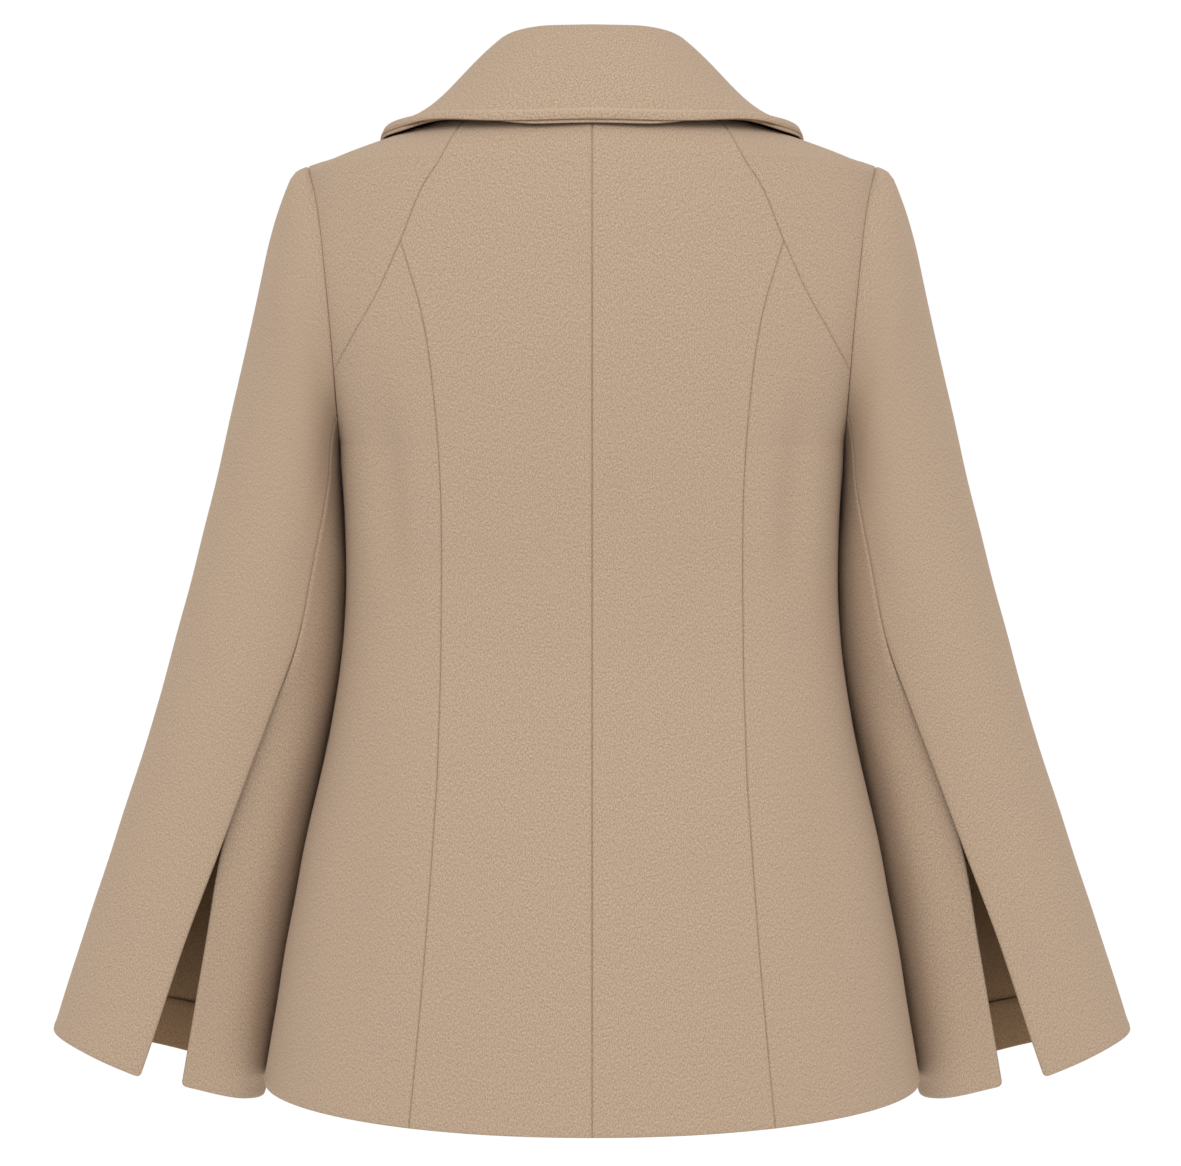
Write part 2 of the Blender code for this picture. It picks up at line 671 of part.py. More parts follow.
def button(name, x, z, seat):
    """A flat round button with a raised rim, on the outside of the upper front."""
    point, normal = front_point(x, z, over_lift(x, z) + seat)
    place = Vector((-point.x, point.y, point.z))
    normal = Vector((-normal.x, normal.y, normal.z))
    rim = BUTTON_RADIUS
    tall = BUTTON_THICKNESS
    profile = ((0.0, 0.0), (rim * 0.90, 0.0), (rim, tall * 0.35), (rim * 0.97, tall * 0.85),
               (rim * 0.86, tall), (rim * 0.76, tall * 0.72), (0.0, tall * 0.72))
    bm = bmesh.new()
    verts = [bm.verts.new((radius, 0.0, height)) for radius, height in profile]
    edges = [bm.edges.new(pair) for pair in zip(verts, verts[1:])]
    bmesh.ops.spin(bm, geom=verts + edges, axis=(0, 0, 1), cent=(0, 0, 0), angle=math.tau,
                   steps=BUTTON_STEPS, use_merge=True)
    bmesh.ops.remove_doubles(bm, verts=bm.verts, dist=1e-6)
    made = add_object(name, bm, horn())
    made.rotation_euler = normal.to_track_quat("Z", "Y").to_euler()
    made.location = place


def build():
    for old in list(bpy.data.objects):
        bpy.data.objects.remove(old, do_unlink=True)
    for side, mirror in (("left", 1.0), ("right", -1.0)):
        lift = over_lift if side == "right" else None
        back_center(side, mirror)
        back_side(side, mirror)
        back_shoulder(side, mirror)
        front(side, mirror, lift)
        lapel(side, mirror, lift)
        top_sleeve(side, mirror)
        under_sleeve(side, mirror)
        sleeve_facing(side, mirror)
    half_gap = SEAM_GAP / 2.0
    collar_layer("top_collar", half_gap, half_gap + TOP_COLLAR, 0.0)
    collar_layer("under_collar", -half_gap - UNDER_COLLAR, -half_gap, UNDER_EDGE_SHOW)
    for row, (z, seat) in enumerate(zip(BUTTONS["z"], BUTTONS["seat"]), start=1):
        button(f"button_outer_{row}", BUTTON_X, z, seat)
        button(f"button_inner_{row}", -BUTTON_X, z, seat)


build()
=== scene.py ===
"""The looks of a wool peacoat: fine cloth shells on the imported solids, pressed seams, rolled edges,
a heathered melton finish, sewn horn buttons, and a pale studio.

Metres, +Z up. The front faces -Y, the back faces the camera, and the wearer's left is +X.
"""
import math

import bmesh
import bpy
import numpy as np
from mathutils import Matrix, Vector


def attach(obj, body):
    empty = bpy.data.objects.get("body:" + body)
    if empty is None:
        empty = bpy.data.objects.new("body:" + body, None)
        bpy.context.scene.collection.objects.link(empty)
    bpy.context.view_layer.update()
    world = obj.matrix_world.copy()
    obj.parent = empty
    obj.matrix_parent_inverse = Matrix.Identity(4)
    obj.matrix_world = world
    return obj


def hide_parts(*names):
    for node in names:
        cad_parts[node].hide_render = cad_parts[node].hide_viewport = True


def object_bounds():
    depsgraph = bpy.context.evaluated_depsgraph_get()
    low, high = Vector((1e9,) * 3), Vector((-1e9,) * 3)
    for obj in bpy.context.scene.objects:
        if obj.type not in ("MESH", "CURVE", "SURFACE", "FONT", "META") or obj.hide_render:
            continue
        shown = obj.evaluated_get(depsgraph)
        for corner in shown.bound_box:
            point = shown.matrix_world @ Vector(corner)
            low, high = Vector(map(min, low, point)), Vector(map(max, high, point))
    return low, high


bl_info = {
    "name": "Peacoat",
    "version": (1, 0, 0),
    "blender": (4, 5, 0),
    "location": "3D View > Sidebar > Peacoat",
    "description": "Makes a wool peacoat in its worn form, with its finishes and a studio",
    "category": "Add Mesh",
}

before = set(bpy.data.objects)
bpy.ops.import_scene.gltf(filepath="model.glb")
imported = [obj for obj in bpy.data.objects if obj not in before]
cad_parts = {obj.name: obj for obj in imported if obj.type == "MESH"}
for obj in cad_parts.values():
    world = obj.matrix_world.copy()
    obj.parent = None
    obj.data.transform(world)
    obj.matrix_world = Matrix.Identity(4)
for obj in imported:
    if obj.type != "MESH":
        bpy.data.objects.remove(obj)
CAD_LOW, CAD_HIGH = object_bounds()

# Main sizes of the coat, the same as in the solids
WALL = 0.0030
LAYER_GAP = 0.0012
NECK_Z = 0.0300
TIP_X, TIP_Z = 0.1965, -0.0130
UNDERARM_X, UNDERARM_Z = 0.1750, -0.2050
HEM_Z = -0.6590
HEM_RISE_TOP_Z = -0.4500
ARMHOLE_BACK = 0.0700
ARMHOLE_FRONT = 0.0660
ARMHOLE_BOW = 0.0065
FORK_Z = -0.0693
DIAGONAL_END_Z = -0.1553

# Double-breasted front, as in the solids
OVERLAP = 0.0750
BREAK_Z = -0.2100
FRONT_TOP_Z = 0.0258
LAPEL_TOP_Z = -0.0130
LAPEL_TIP_X, LAPEL_TIP_Z = 0.1480, -0.0860
LAPEL_BELLY = 0.0060
LAPEL_BELLY_WAY = (0.45, -0.90)
GORGE_RISE = 0.0090
LAPEL_START = 0.07
LIFT_FULL_Z, LIFT_NONE_Z = -0.0860, -0.0200
LIFT_FULL_X, LIFT_NONE_X = 0.0830, 0.1700

# Sleeves and buttons, as in the solids
FRONT_SEAM_TURN = 215.0
RECESS_TURN = 40.0
SLIT_TOP = 7.5
SLEEVE_END = 12.0
BUTTON_RADIUS = 0.0140
BUTTON_THICKNESS = 0.0042
BUTTON_X = 0.0540

# Collar, as in the solids
TOP_COLLAR = 0.0025
UNDER_COLLAR = 0.0020
ROLL_RADIUS = 0.0070
COLLAR_SIDE = 0.55
COLLAR_GAP = 0.0013
COLLAR_FOOT = 0.0036
GORGE_Z = -0.0080
GORGE_BEND = 1.6
GORGE_INWARD = (-0.80, 0.0, 0.60)
GORGE_INWARD_RATE = 6.0

# Seams, which are closed here while the solids stand further apart, and free edges. The swell
# is counted in widths of the seam's line, the radius in walls, the roll in its own distance
SEAM_GAP = 0.00002
ARMHOLE_GAP = 0.00003
SEAM_TIP = 0.0006
ARMHOLE_PRESS = 0.28
BREAK_EASE = 0.0100
SWELL_PLACE, SWELL_REACH = 6.0, 3.6
EDGE_RADIUS = 0.485
ROLL_REACH = 0.6

# Softness of the shoulder, in metres and in turns round the armhole or the body
SHOULDER_BOW = 0.0033
SHOULDER_BOW_TURN, SHOULDER_BOW_REACH = 40.0, 35.0
SOFTEN_STEP = 0.0030
SOFTEN_REACH = 0.0200
SOFTEN_TURNS = 9.0
SOFTEN_FROM, SOFTEN_TO = 36.0, 52.0
SOFTEN_SHARES = (1.0, 2.0, 3.0, 2.0, 1.0)
TIP_DROP = 0.0018
TIP_DROP_RADIUS = 0.018
TIP_DROP_PLACE = (0.188, 0.026, -0.012)
CAP_RISE = 0.0009
CAP_TURN = 45.0
CAP_RISES, CAP_FALLS = (0.0, 0.25), (0.6, 2.4)

# Form of the hanging cloth
HEM_RISE = 0.0050
HEM_DROP = 0.0040
HEM_DROP_FROM = 10.8
HEM_DROP_FRONT, HEM_DROP_BEHIND, HEM_DROP_SLIT = 1.2, 0.4, 0.9
HEM_FRONT_TURNS, HEM_BEHIND_TURNS, HEM_SLIT_TURNS = (-20.0, 60.0), (60.0, 130.0), (35.0, 100.0)
CREVICE_SWELL = 0.00065
CREVICE_Z = (-0.190, -0.225, -0.335, -0.385)
CREVICE_TURN = 24.0
CREASE_STARTS, CREASE_ENDS = (-0.15, 0.35), (0.65, 1.15)
SIDE_FADE = 0.0200
OVERLAP_CALM = (0.075, 0.110)
SLEEVE_CALM = (0.3, 2.0)
SLIT_EASE = 0.15
SLIT_CORNER = 0.0032
UNDER_CORNER = 0.0036
FRONT_CORNER = 0.0050

# Turned-up hem of the sleeve
FACING_WALL = 0.0016
FACING_GAP = 0.0007
FACING_FROM, FACING_TO = 11.67, 11.98
FACING_TILT = 0.0034
FACING_TILT_TURNS = (50.0, 110.0)
FACING_FRONT_TURN, FACING_BACK_TURN = 4.0, 3.0

# Layers and rim of the collar. Places along its half run from 0 at the centre back to 1, and
# the rim's ends and its line of painted highlight are counted in rim widths from the edge
LAYERS_APART = 0.0003
COLLAR_CLEAR = 0.0009
UNDER_EDGE_SHOW = 0.0007
UNDER_EDGE_HIDE = 0.0060
UNDER_EDGE_REACH = 0.03
SHOW_FULL, SHOW_NONE = 0.08, 0.20
SHOW_AGAIN, SHOW_ALL = 0.30, 0.42
RIM_DROOP = 0.0036
RIM_CURL = 0.0150
DROOP_FROM, DROOP_FULL, DROOP_FADES, DROOP_TO = 0.30, 0.48, 0.62, 0.80
RIM_FULL, RIM_END = 0.5, 1.22
# Painted highlight: a lighter line along the top collar's rim, where light catches the pressed ledge
RIM_HIGHLIGHT = 0.95
HIGHLIGHT_PLACE, HIGHLIGHT_REACH = 1.1, 0.19

# Shape of the buttons and their thread
BUTTON_BACK = 0.86
BUTTON_RIM = 0.10
HOLE_RADIUS = 0.0012
HOLE_SPACING = 0.0042
STRAND_RADIUS = 0.00042
STRAND_OFFSET = 0.00045
STRAND_DEPTH = 0.0016
THREAD_TOP = 0.70
THREAD_FLATNESS = 0.72

# Where each piece lies in the cloth's pattern, a length apart
GRAIN_SHIFT = 0.9
GRAIN_SHIFT_RIGHT = 0.405

# Fineness of the cloth, and the turn past which an edge is sharp
SHARP_CLOTH, SHARP_BUTTON = 50.0, 40.0
ROW_STEP = 0.0050
LEAST_STEP = 0.0002
COLUMNS = {"back_center": 26, "back_side": 30, "back_shoulder": 26, "front": 64, "lapel": 30,
           "top_sleeve": 58, "under_sleeve": 30, "sleeve_hem_facing": 48}
ARMHOLE_STEPS = 44
LAPEL_ROWS, LAPEL_WIDTH = 44, 0.20
SLEEVE_ROWS = 118
FACING_ROWS = 14
COLLAR_STEPS, COLLAR_HALF = 84, 0.40
STAND_ROWS, ROLL_ROWS = 10, 15
EDGE_STEPS = (0.0, 0.0003, 0.0008, 0.0015, 0.0024, 0.0036, 0.0052, 0.0075)
FALL_LENGTH = 0.0780
FALL_ROWS = 15
RIM_STEPS = (0.0130, 0.0116, 0.0106, 0.0098, 0.0092, 0.0087, 0.0082, 0.0077, 0.0072, 0.0066,
             0.0056, 0.0042, 0.0030, 0.0020, 0.0012, 0.0006, 0.0002, 0.0)
PATH_SAMPLES = 160
LINE_SAMPLES = 60
SLEEVE_SAMPLES = 400
TURN_STEP = 0.4
HEIGHT_STEP = 0.0005
ALONG_STEP = 0.04
ALONG_LEAST, ALONG_MOST = 0.05, 11.95

# Studio and camera, the camera from pixels of the photograph
FLOOR_DROP = 0.90
FLOOR_SIZE = 24.0
KEY_SIZE, KEY_POWER = 3.2, 66.0
KEY_PLACE = (0.0, 3.0, 2.3)
WORLD_STRENGTH = 1.0
CAMERA_AWAY = 2.2
CAMERA_AIM_Z = -0.175
CAMERA_NEAR, CAMERA_FAR = 0.05, 60.0
PHOTO_WIDTH, PHOTO_HEIGHT = 1181, 1166
PIXEL = 0.0007
LEVEL_X, LEVEL_Y = 592.0, 400.0
SENSOR = 36.0


def table(columns, *rows):
    """Names the columns of a short table."""
    return {name: [row[place] for row in rows] for place, name in enumerate(columns.split())}


# Half sections of the body at each height
BODY = table(
    "z half_width back front power",
    (0.0300, 0.0750, 0.0750, 0.0620, 2.1),
    (0.0160, 0.1120, 0.0940, 0.0760, 2.1),
    (0.0015, 0.1533, 0.1120, 0.0880, 2.1),
    (-0.0080, 0.1805, 0.1170, 0.0930, 2.1),
    (-0.0130, 0.1965, 0.1185, 0.0960, 2.1),
    (-0.0600, 0.1960, 0.1250, 0.1120, 2.2),
    (-0.1200, 0.1900, 0.1265, 0.1260, 2.4),
    (-0.2050, 0.1750, 0.1190, 0.1340, 2.5),
    (-0.2550, 0.1719, 0.1115, 0.1300, 2.5),
    (-0.2960, 0.1710, 0.1070, 0.1230, 2.4),
    (-0.3370, 0.1730, 0.1060, 0.1190, 2.4),
    (-0.3985, 0.1821, 0.1150, 0.1215, 2.4),
    (-0.4703, 0.1972, 0.1310, 0.1300, 2.3),
    (-0.5448, 0.2114, 0.1450, 0.1390, 2.2),
    (-0.6590, 0.2313, 0.1610, 0.1500, 2.1),
)

# Back seams, as the distance from the centre back at each height
DIAGONAL = table(
    "z x",
    (0.0300, 0.0600),
    (0.0100, 0.0870),
    (-0.0174, 0.1024),
    (-0.0327, 0.1124),
    (-0.0693, 0.1277),
    (-0.1058, 0.1450),
    (-0.1240, 0.1560),
    (-0.1553, 0.1755),
)
PRINCESS = table(
    "z x",
    (-0.0693, 0.1277),
    (-0.0911, 0.1208),
    (-0.1083, 0.1155),
    (-0.1301, 0.1109),
    (-0.1585, 0.1070),
    (-0.2060, 0.1029),
    (-0.2548, 0.1011),
    (-0.3083, 0.1016),
    (-0.4130, 0.1036),
    (-0.5235, 0.1102),
    (-0.6590, 0.1218),
)

# Sleeve sections through an outer and an inner point. Turns are degrees from the outer point
# towards the back: the back seam, and the under panel's edge, which is recessed beside the slit
SLEEVE = table(
    "along outer_x outer_z inner_x inner_z shift back front seam edge recess",
    (0.0, 0.1965, -0.0130, 0.1750, -0.2050, 0.0000, 0.0700, 0.0660, 143.0, 143.0, 0.0),
    (1.0, 0.2062, -0.0180, 0.1753, -0.2080, 0.0000, 0.0705, 0.0665, 144.0, 144.0, 0.0),
    (2.0, 0.2149, -0.0355, 0.1757, -0.2150, -0.0010, 0.0705, 0.0670, 145.0, 145.0, 0.0),
    (3.0, 0.2233, -0.0630, 0.1758, -0.2260, -0.0020, 0.0700, 0.0670, 145.0, 145.0, 0.0),
    (4.0, 0.2303, -0.0910, 0.1755, -0.2400, -0.0040, 0.0690, 0.0665, 143.5, 143.5, 0.0),
    (5.0, 0.2401, -0.1330, 0.1742, -0.2620, -0.0070, 0.0675, 0.0655, 136.5, 136.5, 0.0),
    (6.0, 0.2508, -0.1750, 0.1729, -0.2900, -0.0100, 0.0660, 0.0645, 128.5, 128.5, 0.0),
    (7.0, 0.2678, -0.2450, 0.1742, -0.3400, -0.0140, 0.0640, 0.0630, 121.0, 121.0, 0.0),
    (7.5, 0.2769, -0.2800, 0.1771, -0.3650, -0.0155, 0.0630, 0.0625, 118.6, 118.8, 0.0),
    (8.4, 0.2941, -0.3434, 0.1860, -0.4120, -0.0180, 0.0620, 0.0615, 111.2, 111.8, 0.0058),
    (9.2, 0.3104, -0.3998, 0.1958, -0.4570, -0.0200, 0.0610, 0.0610, 105.0, 102.9, 0.0084),
    (10.0, 0.3289, -0.4562, 0.2054, -0.5060, -0.0210, 0.0600, 0.0605, 99.4, 100.6, 0.0092),
    (11.0, 0.3529, -0.5280, 0.2182, -0.5740, -0.0220, 0.0590, 0.0600, 92.3, 105.0, 0.0098),
    (12.0, 0.3844, -0.6225, 0.2342, -0.6665, -0.0220, 0.0580, 0.0595, 85.7, 108.8, 0.0100),
)

# Button rows, with how far a flat button stands off the front's curve
BUTTONS = table(
    "z seat",
    (-0.2400, 0.0003),
    (-0.3400, 0.0010),
    (-0.4400, 0.0004),
)

# Collar sections from the centre back to the gorge
COLLAR = table(
    "around roll_x roll_y roll_z edge_turn edge_z off swell",
    (0.00, 0.0000, 0.0600, 0.0685, 0.0, 0.0066, 0.0016, 0.002),
    (0.15, 0.0285, 0.0550, 0.0685, 24.0, 0.0044, 0.0034, 0.0),
    (0.30, 0.0480, 0.0380, 0.0675, 46.0, 0.0056, 0.0048, -0.007),
    (0.45, 0.0595, 0.0150, 0.0640, 70.0, 0.0058, 0.0040, -0.012),
    (0.55, 0.0630, -0.0050, 0.0605, 90.0, 0.0048, 0.0036, -0.013),
    (0.70, 0.0655, -0.0320, 0.0495, 124.0, -0.0070, 0.0038, -0.010),
    (0.85, 0.0620, -0.0640, 0.0260, 132.5, -0.0350, 0.0038, -0.004),
    (1.00, 0.0490, -0.0960, 0.0010, 138.0, -0.0660, 0.0016, 0.0),
)

# Soft hollows and ridges in the back or the fronts, each a line between two points, as distances
# from the centre and heights
CREASES = table(
    "piece x1 z1 x2 z2 width depth",
    ("back", 0.143, -0.165, 0.136, -0.300, 0.013, -0.0042),
    ("back", 0.119, -0.180, 0.116, -0.330, 0.010, 0.0010),
    ("back", 0.150, -0.380, 0.172, -0.600, 0.022, -0.0022),
    ("back", 0.190, -0.430, 0.214, -0.640, 0.016, 0.0016),
    ("back", 0.062, -0.250, 0.076, -0.480, 0.030, -0.0012),
    ("back", 0.030, -0.420, 0.036, -0.650, 0.034, 0.0012),
    ("back", 0.150, -0.040, 0.168, -0.115, 0.020, -0.0009),
    ("front", 0.120, -0.240, 0.105, -0.420, 0.024, -0.0018),
    ("front", 0.140, -0.440, 0.165, -0.650, 0.026, 0.0022),
)

# Dish of a button, from its rim to the middle, in shares of its radius and thickness
DISH = table("radius height", (0.80, 0.97), (0.72, 0.84), (0.62, 0.74), (0.0, 0.68))

# Two pairs of waves that cross, as the cloth's unevenness: how fast each turns along x, y and z,
# and the angle that it starts at
WAVES = table(
    "x y z start",
    (47.0, 0.0, 9.0, 1.3),
    (0.0, -13.0, 21.0, 0.0),
    (31.0, -17.0, 88.0, 0.4),
    (63.0, 40.0, 0.0, 0.0),
)
FINE_WAVES = 0.6

# Patterns of the melton: noise on the flat cloth, turned and squeezed
FIBRES = table(
    "name turn scale detail",
    ("long", 0.10, (1200.0, 640.0, 700.0), 4.0),
    ("cross", -0.75, (1400.0, 950.0, 800.0), 3.0),
    ("fuzz", 0.50, (2600.0, 1900.0, 1500.0), 1.0),
    ("patches", 0.30, (26.0, 17.0, 10.0), 2.0),
)

# The flat cut of each panel: its width and length, and its area
CUTS = table(
    "piece width length area",
    ("back_center", 0.131, 0.745, 0.0790),
    ("back_side", 0.190, 0.649, 0.0784),
    ("back_shoulder", 0.150, 0.309, 0.0193),
    ("front", 0.384, 0.830, 0.2097),
    ("lapel", 0.140, 0.250, 0.0198),
    ("top_sleeve", 0.434, 0.650, 0.1615),
    ("under_sleeve", 0.124, 0.488, 0.0523),
    ("sleeve_hem_facing", 0.259, 0.035, 0.0085),
    ("top_collar", 0.687, 0.163, 0.0739),
    ("under_collar", 0.680, 0.155, 0.0699),
)


def read(rows, name, at):
    """Reads a column smoothly, without overshoot, at places along the table's first column."""
    keys = np.array(next(iter(rows.values())), float)
    values = np.array(rows[name], float)
    at = np.asarray(at, float)
    if keys[0] > keys[-1]:
        keys = -keys
        at = -at
    spans = np.diff(keys)
    slopes = np.diff(values) / spans
    turns_over = slopes[:-1] * slopes[1:] <= 0.0
    first = np.where(turns_over, 1.0, slopes[:-1])
    second = np.where(turns_over, 1.0, slopes[1:])
    before = 2.0 * spans[1:] + spans[:-1]
    after = spans[1:] + 2.0 * spans[:-1]
    middle = np.where(turns_over, 0.0, (before + after) / (before / first + after / second))
    leans = np.concatenate((slopes[:1], middle, slopes[-1:]))
    at = np.clip(at, keys[0], keys[-1])
    i = np.clip(np.searchsorted(keys, at, side="right") - 1, 0, len(spans) - 1)
    t = (at - keys[i]) / spans[i]
    start = (1.0 + 2.0 * t) * (1.0 - t) ** 2 * values[i] + t * t * (3.0 - 2.0 * t) * values[i + 1]
    bend = t * (1.0 - t) ** 2 * leans[i] - t * t * (1.0 - t) * leans[i + 1]
    return start + bend * spans[i]


def ease(value, start, end):
    """Runs smoothly from 0 at start to 1 at end."""
    t = np.clip((value - start) / (end - start), 0.0, 1.0)
    return t * t * (3.0 - 2.0 * t)


def signed_power(value, power):
    return np.copysign(np.abs(value) ** power, value)


def stack(x, y, z):
    return np.stack(np.broadcast_arrays(x, y, z), axis=-1)


def unit(vectors):
    return vectors / np.maximum(np.linalg.norm(vectors, axis=-1, keepdims=True), 1e-12)


def armhole_turn(z):
    """The turn round the armhole, from the shoulder tip, that lies at a height."""
    middle = (TIP_Z + UNDERARM_Z) / 2.0
    reach = (TIP_Z - UNDERARM_Z) / 2.0
    return np.degrees(np.arccos(np.clip((z - middle) / reach, -1.0, 1.0)))


def shoulder_bow(turn):
    """How far the armhole seam bows inwards at the back of the shoulder."""
    fade = np.exp(-((turn - SHOULDER_BOW_TURN) / SHOULDER_BOW_REACH) ** 2)
    return SHOULDER_BOW * np.maximum(np.sin(np.radians(turn)), 0.0) * fade


def armhole_point(turn):
    """A point of the armhole seam: 0 at the shoulder tip, 90 at the back, 180 at the underarm."""
    c = np.cos(np.radians(turn))
    s = np.sin(np.radians(turn))
    depth = np.where(s > 0.0, ARMHOLE_BACK, ARMHOLE_FRONT)
    bow = ARMHOLE_BOW * s * s + shoulder_bow(turn)
    x = (TIP_X + UNDERARM_X) / 2.0 + (TIP_X - UNDERARM_X) / 2.0 * c - bow
    z = (TIP_Z + UNDERARM_Z) / 2.0 + (TIP_Z - UNDERARM_Z) / 2.0 * c
    return stack(x, depth * s, z)


def armhole_inward(turn):
    """The way from the seam to the middle of the armhole, along which both walls end."""
    middle = np.array(((TIP_X + UNDERARM_X) / 2.0, 0.0, (TIP_Z + UNDERARM_Z) / 2.0))
    return unit(middle - armhole_point(turn))


def body_width(z, at_back):
    """Half width of the body's section. Beside the armhole it runs through the armhole seam."""
    point = armhole_point(armhole_turn(z) * np.where(at_back, 1.0, -1.0))
    depth = np.where(at_back, read(BODY, "back", z), read(BODY, "front", z))
    power = read(BODY, "power", z)
    beside = point[..., 0] / (1.0 - (np.abs(point[..., 1]) / depth) ** power) ** (1.0 / power)
    plain = read(BODY, "half_width", z)
    return np.where((z >= TIP_Z) | (z <= UNDERARM_Z), plain, beside)


def body_point(turn, z):
    """A point on the body's outside: 0 at the centre back, 90 at the side, 180 at the front."""
    turn, z = np.broadcast_arrays(np.asarray(turn, float), np.asarray(z, float))
    c = np.cos(np.radians(turn))
    s = np.sin(np.radians(turn))
    at_back = c > 0.0
    power = 2.0 / read(BODY, "power", z)
    depth = np.where(at_back, read(BODY, "back", z), read(BODY, "front", z))
    rise = HEM_RISE * s * s * ease(-z, -HEM_RISE_TOP_Z, -HEM_Z)
    width = body_width(z, at_back)
    return stack(width * signed_power(s, power), depth * signed_power(c, power), z + rise)


def normal_of(surface, u, v, step_u, step_v):
    across = surface(u + step_u, v) - surface(u - step_u, v)
    along = surface(u, v + step_v) - surface(u, v - step_v)
    return unit(np.cross(along, across))


def body_normal(turn, z):
    """The outward direction of the body's surface."""
    z = np.clip(z, HEM_Z + HEIGHT_STEP, NECK_Z - HEIGHT_STEP)
    for edge in (TIP_Z, UNDERARM_Z):
        z = np.where(np.abs(z - edge) < HEIGHT_STEP, edge + HEIGHT_STEP * 1.1, z)
    return normal_of(body_point, turn, z, TURN_STEP, HEIGHT_STEP)


def turn_at(x, z, at_back):
    """The turn round the body where it is a given distance from the centre."""
    share = np.minimum(np.abs(x) / body_width(z, at_back), 1.0) ** (read(BODY, "power", z) / 2.0)
    turn = np.copysign(np.degrees(np.arcsin(share)), x)
    return np.where(at_back, turn, 180.0 - turn)


def sleeve_point(turn, along):
    """A point on the sleeve's outside, on the section at a place along the sleeve."""
    c = np.cos(np.radians(turn))
    s = np.sin(np.radians(turn))
    outer_x = read(SLEEVE, "outer_x", along)
    outer_z = read(SLEEVE, "outer_z", along)
    inner_x = read(SLEEVE, "inner_x", along)
    inner_z = read(SLEEVE, "inner_z", along)
    depth = np.where(s > 0.0, read(SLEEVE, "back", along), read(SLEEVE, "front", along))
    bow = (ARMHOLE_BOW * s * s + shoulder_bow(turn)) * np.maximum(1.0 - along / 3.0, 0.0)
    x = (outer_x + inner_x) / 2.0 + (outer_x - inner_x) / 2.0 * c - bow
    z = (outer_z + inner_z) / 2.0 + (outer_z - inner_z) / 2.0 * c
    return stack(x, depth * s + read(SLEEVE, "shift", along), z)


def sleeve_normal(turn, along, surface=sleeve_point):
    """The outward direction of the sleeve's surface, or of one of its panels."""
    along = np.clip(along, ALONG_LEAST, ALONG_MOST)
    return normal_of(surface, turn, along, TURN_STEP, ALONG_STEP)


def under_point(turn, along):
    """The under panel falls back into the sleeve beside the slit."""
    edge = read(SLEEVE, "edge", along)
    drop = read(SLEEVE, "recess", along) * (1.0 - ease(turn, edge, edge + RECESS_TURN))
    return sleeve_point(turn, along) - sleeve_normal(turn, along) * drop[..., None]


def lengths_along(points):
    """How far each point of a line is from its start, measured along it."""
    steps = np.linalg.norm(np.diff(points, axis=0), axis=-1)
    return np.concatenate((np.zeros((1, *steps.shape[1:])), np.cumsum(steps, axis=0)))


def graded(length, count):
    """Places along a length, close together near both ends, where the cloth is pressed."""
    near = np.array(EDGE_STEPS) * min(1.0, length / (3.0 * EDGE_STEPS[-1]))
    middle = np.linspace(near[-1], length - near[-1], count)
    return np.concatenate((near[:-1], middle, length - near[::-1][1:]))


def graded_levels(start, end, step):
    """Heights or places from start to end, close together near the end."""
    length = abs(end - start)
    count = max(int(length / step), 2)
    near = np.array(EDGE_STEPS)
    middle = np.linspace(0.0, length - near[-1], count)
    places = np.concatenate((middle, length - near[::-1][1:]))
    return start + math.copysign(1.0, end - start) * places


def lay_grid(surface, levels, start, end, count):
    """Turns and levels of a panel's points, row by row, evenly spaced but for the side edges."""
    turns = []
    for level, first, last in zip(levels, start, end):
        places = np.linspace(first, last, PATH_SAMPLES)
        lengths = lengths_along(surface(places, np.full(PATH_SAMPLES, level)))
        turns.append(np.interp(graded(lengths[-1], count), lengths, places))
    turns = np.array(turns)
    return turns, np.repeat(np.asarray(levels, float)[:, None], turns.shape[1], axis=1)


def distance_to(points, line):
    """The distance of each point from a line through points."""
    start = line[:-1]
    step = np.diff(line, axis=0)
    reach = np.maximum((step * step).sum(-1), 1e-18)
    flat = points.reshape(-1, 3)
    nearest = np.empty(len(flat))
    for first in range(0, len(flat), 2000):
        away = flat[first:first + 2000, None, :] - start
        share = np.clip((away * step).sum(-1) / reach, 0.0, 1.0)
        gaps = np.linalg.norm(away - share[..., None] * step, axis=-1)
        nearest[first:first + 2000] = gaps.min(axis=1)
    return nearest.reshape(points.shape[:-1])


def pressed(distance, sizes):
    """How a sewn and pressed seam sinks, and how the cloth swells over its allowance."""
    line = sizes.seam_depth * np.exp(-(distance / sizes.seam_width) ** 2)
    swell = np.exp(-((distance / sizes.seam_width - SWELL_PLACE) / SWELL_REACH) ** 2)
    return sizes.seam_swell * swell - line


def rounded(distance, radius):
    """How far a wall's side falls back towards the middle of the wall at its rounded edge."""
    short = np.clip(radius - distance, 0.0, radius)
    return radius - np.sqrt(radius * radius - short * short)


def creased(piece, points):
    """Soft hollows and ridges, each fading out at its ends and to its sides."""
    lift = np.zeros(points.shape[:-1])
    for name, x1, z1, x2, z2, width, depth in zip(*CREASES.values()):
        if name != piece:
            continue
        way = np.array((x2 - x1, z2 - z1))
        away = np.stack((points[..., 0] - x1, points[..., 2] - z1), axis=-1)
        share = (away @ way) / (way @ way)
        side = np.abs(away[..., 0] * way[1] - away[..., 1] * way[0]) / np.linalg.norm(way)
        fade = ease(share, *CREASE_STARTS) * (1.0 - ease(share, *CREASE_ENDS))
        lift += depth * fade * np.exp(-(side / width) ** 2)
    return lift


def crevice(z, from_side):
    """How far body and sleeve swell towards each other below the armhole."""
    fade = ease(-z, -CREVICE_Z[0], -CREVICE_Z[1]) * (1.0 - ease(-z, -CREVICE_Z[2], -CREVICE_Z[3]))
    return CREVICE_SWELL * fade * np.exp(-(from_side / CREVICE_TURN) ** 2)


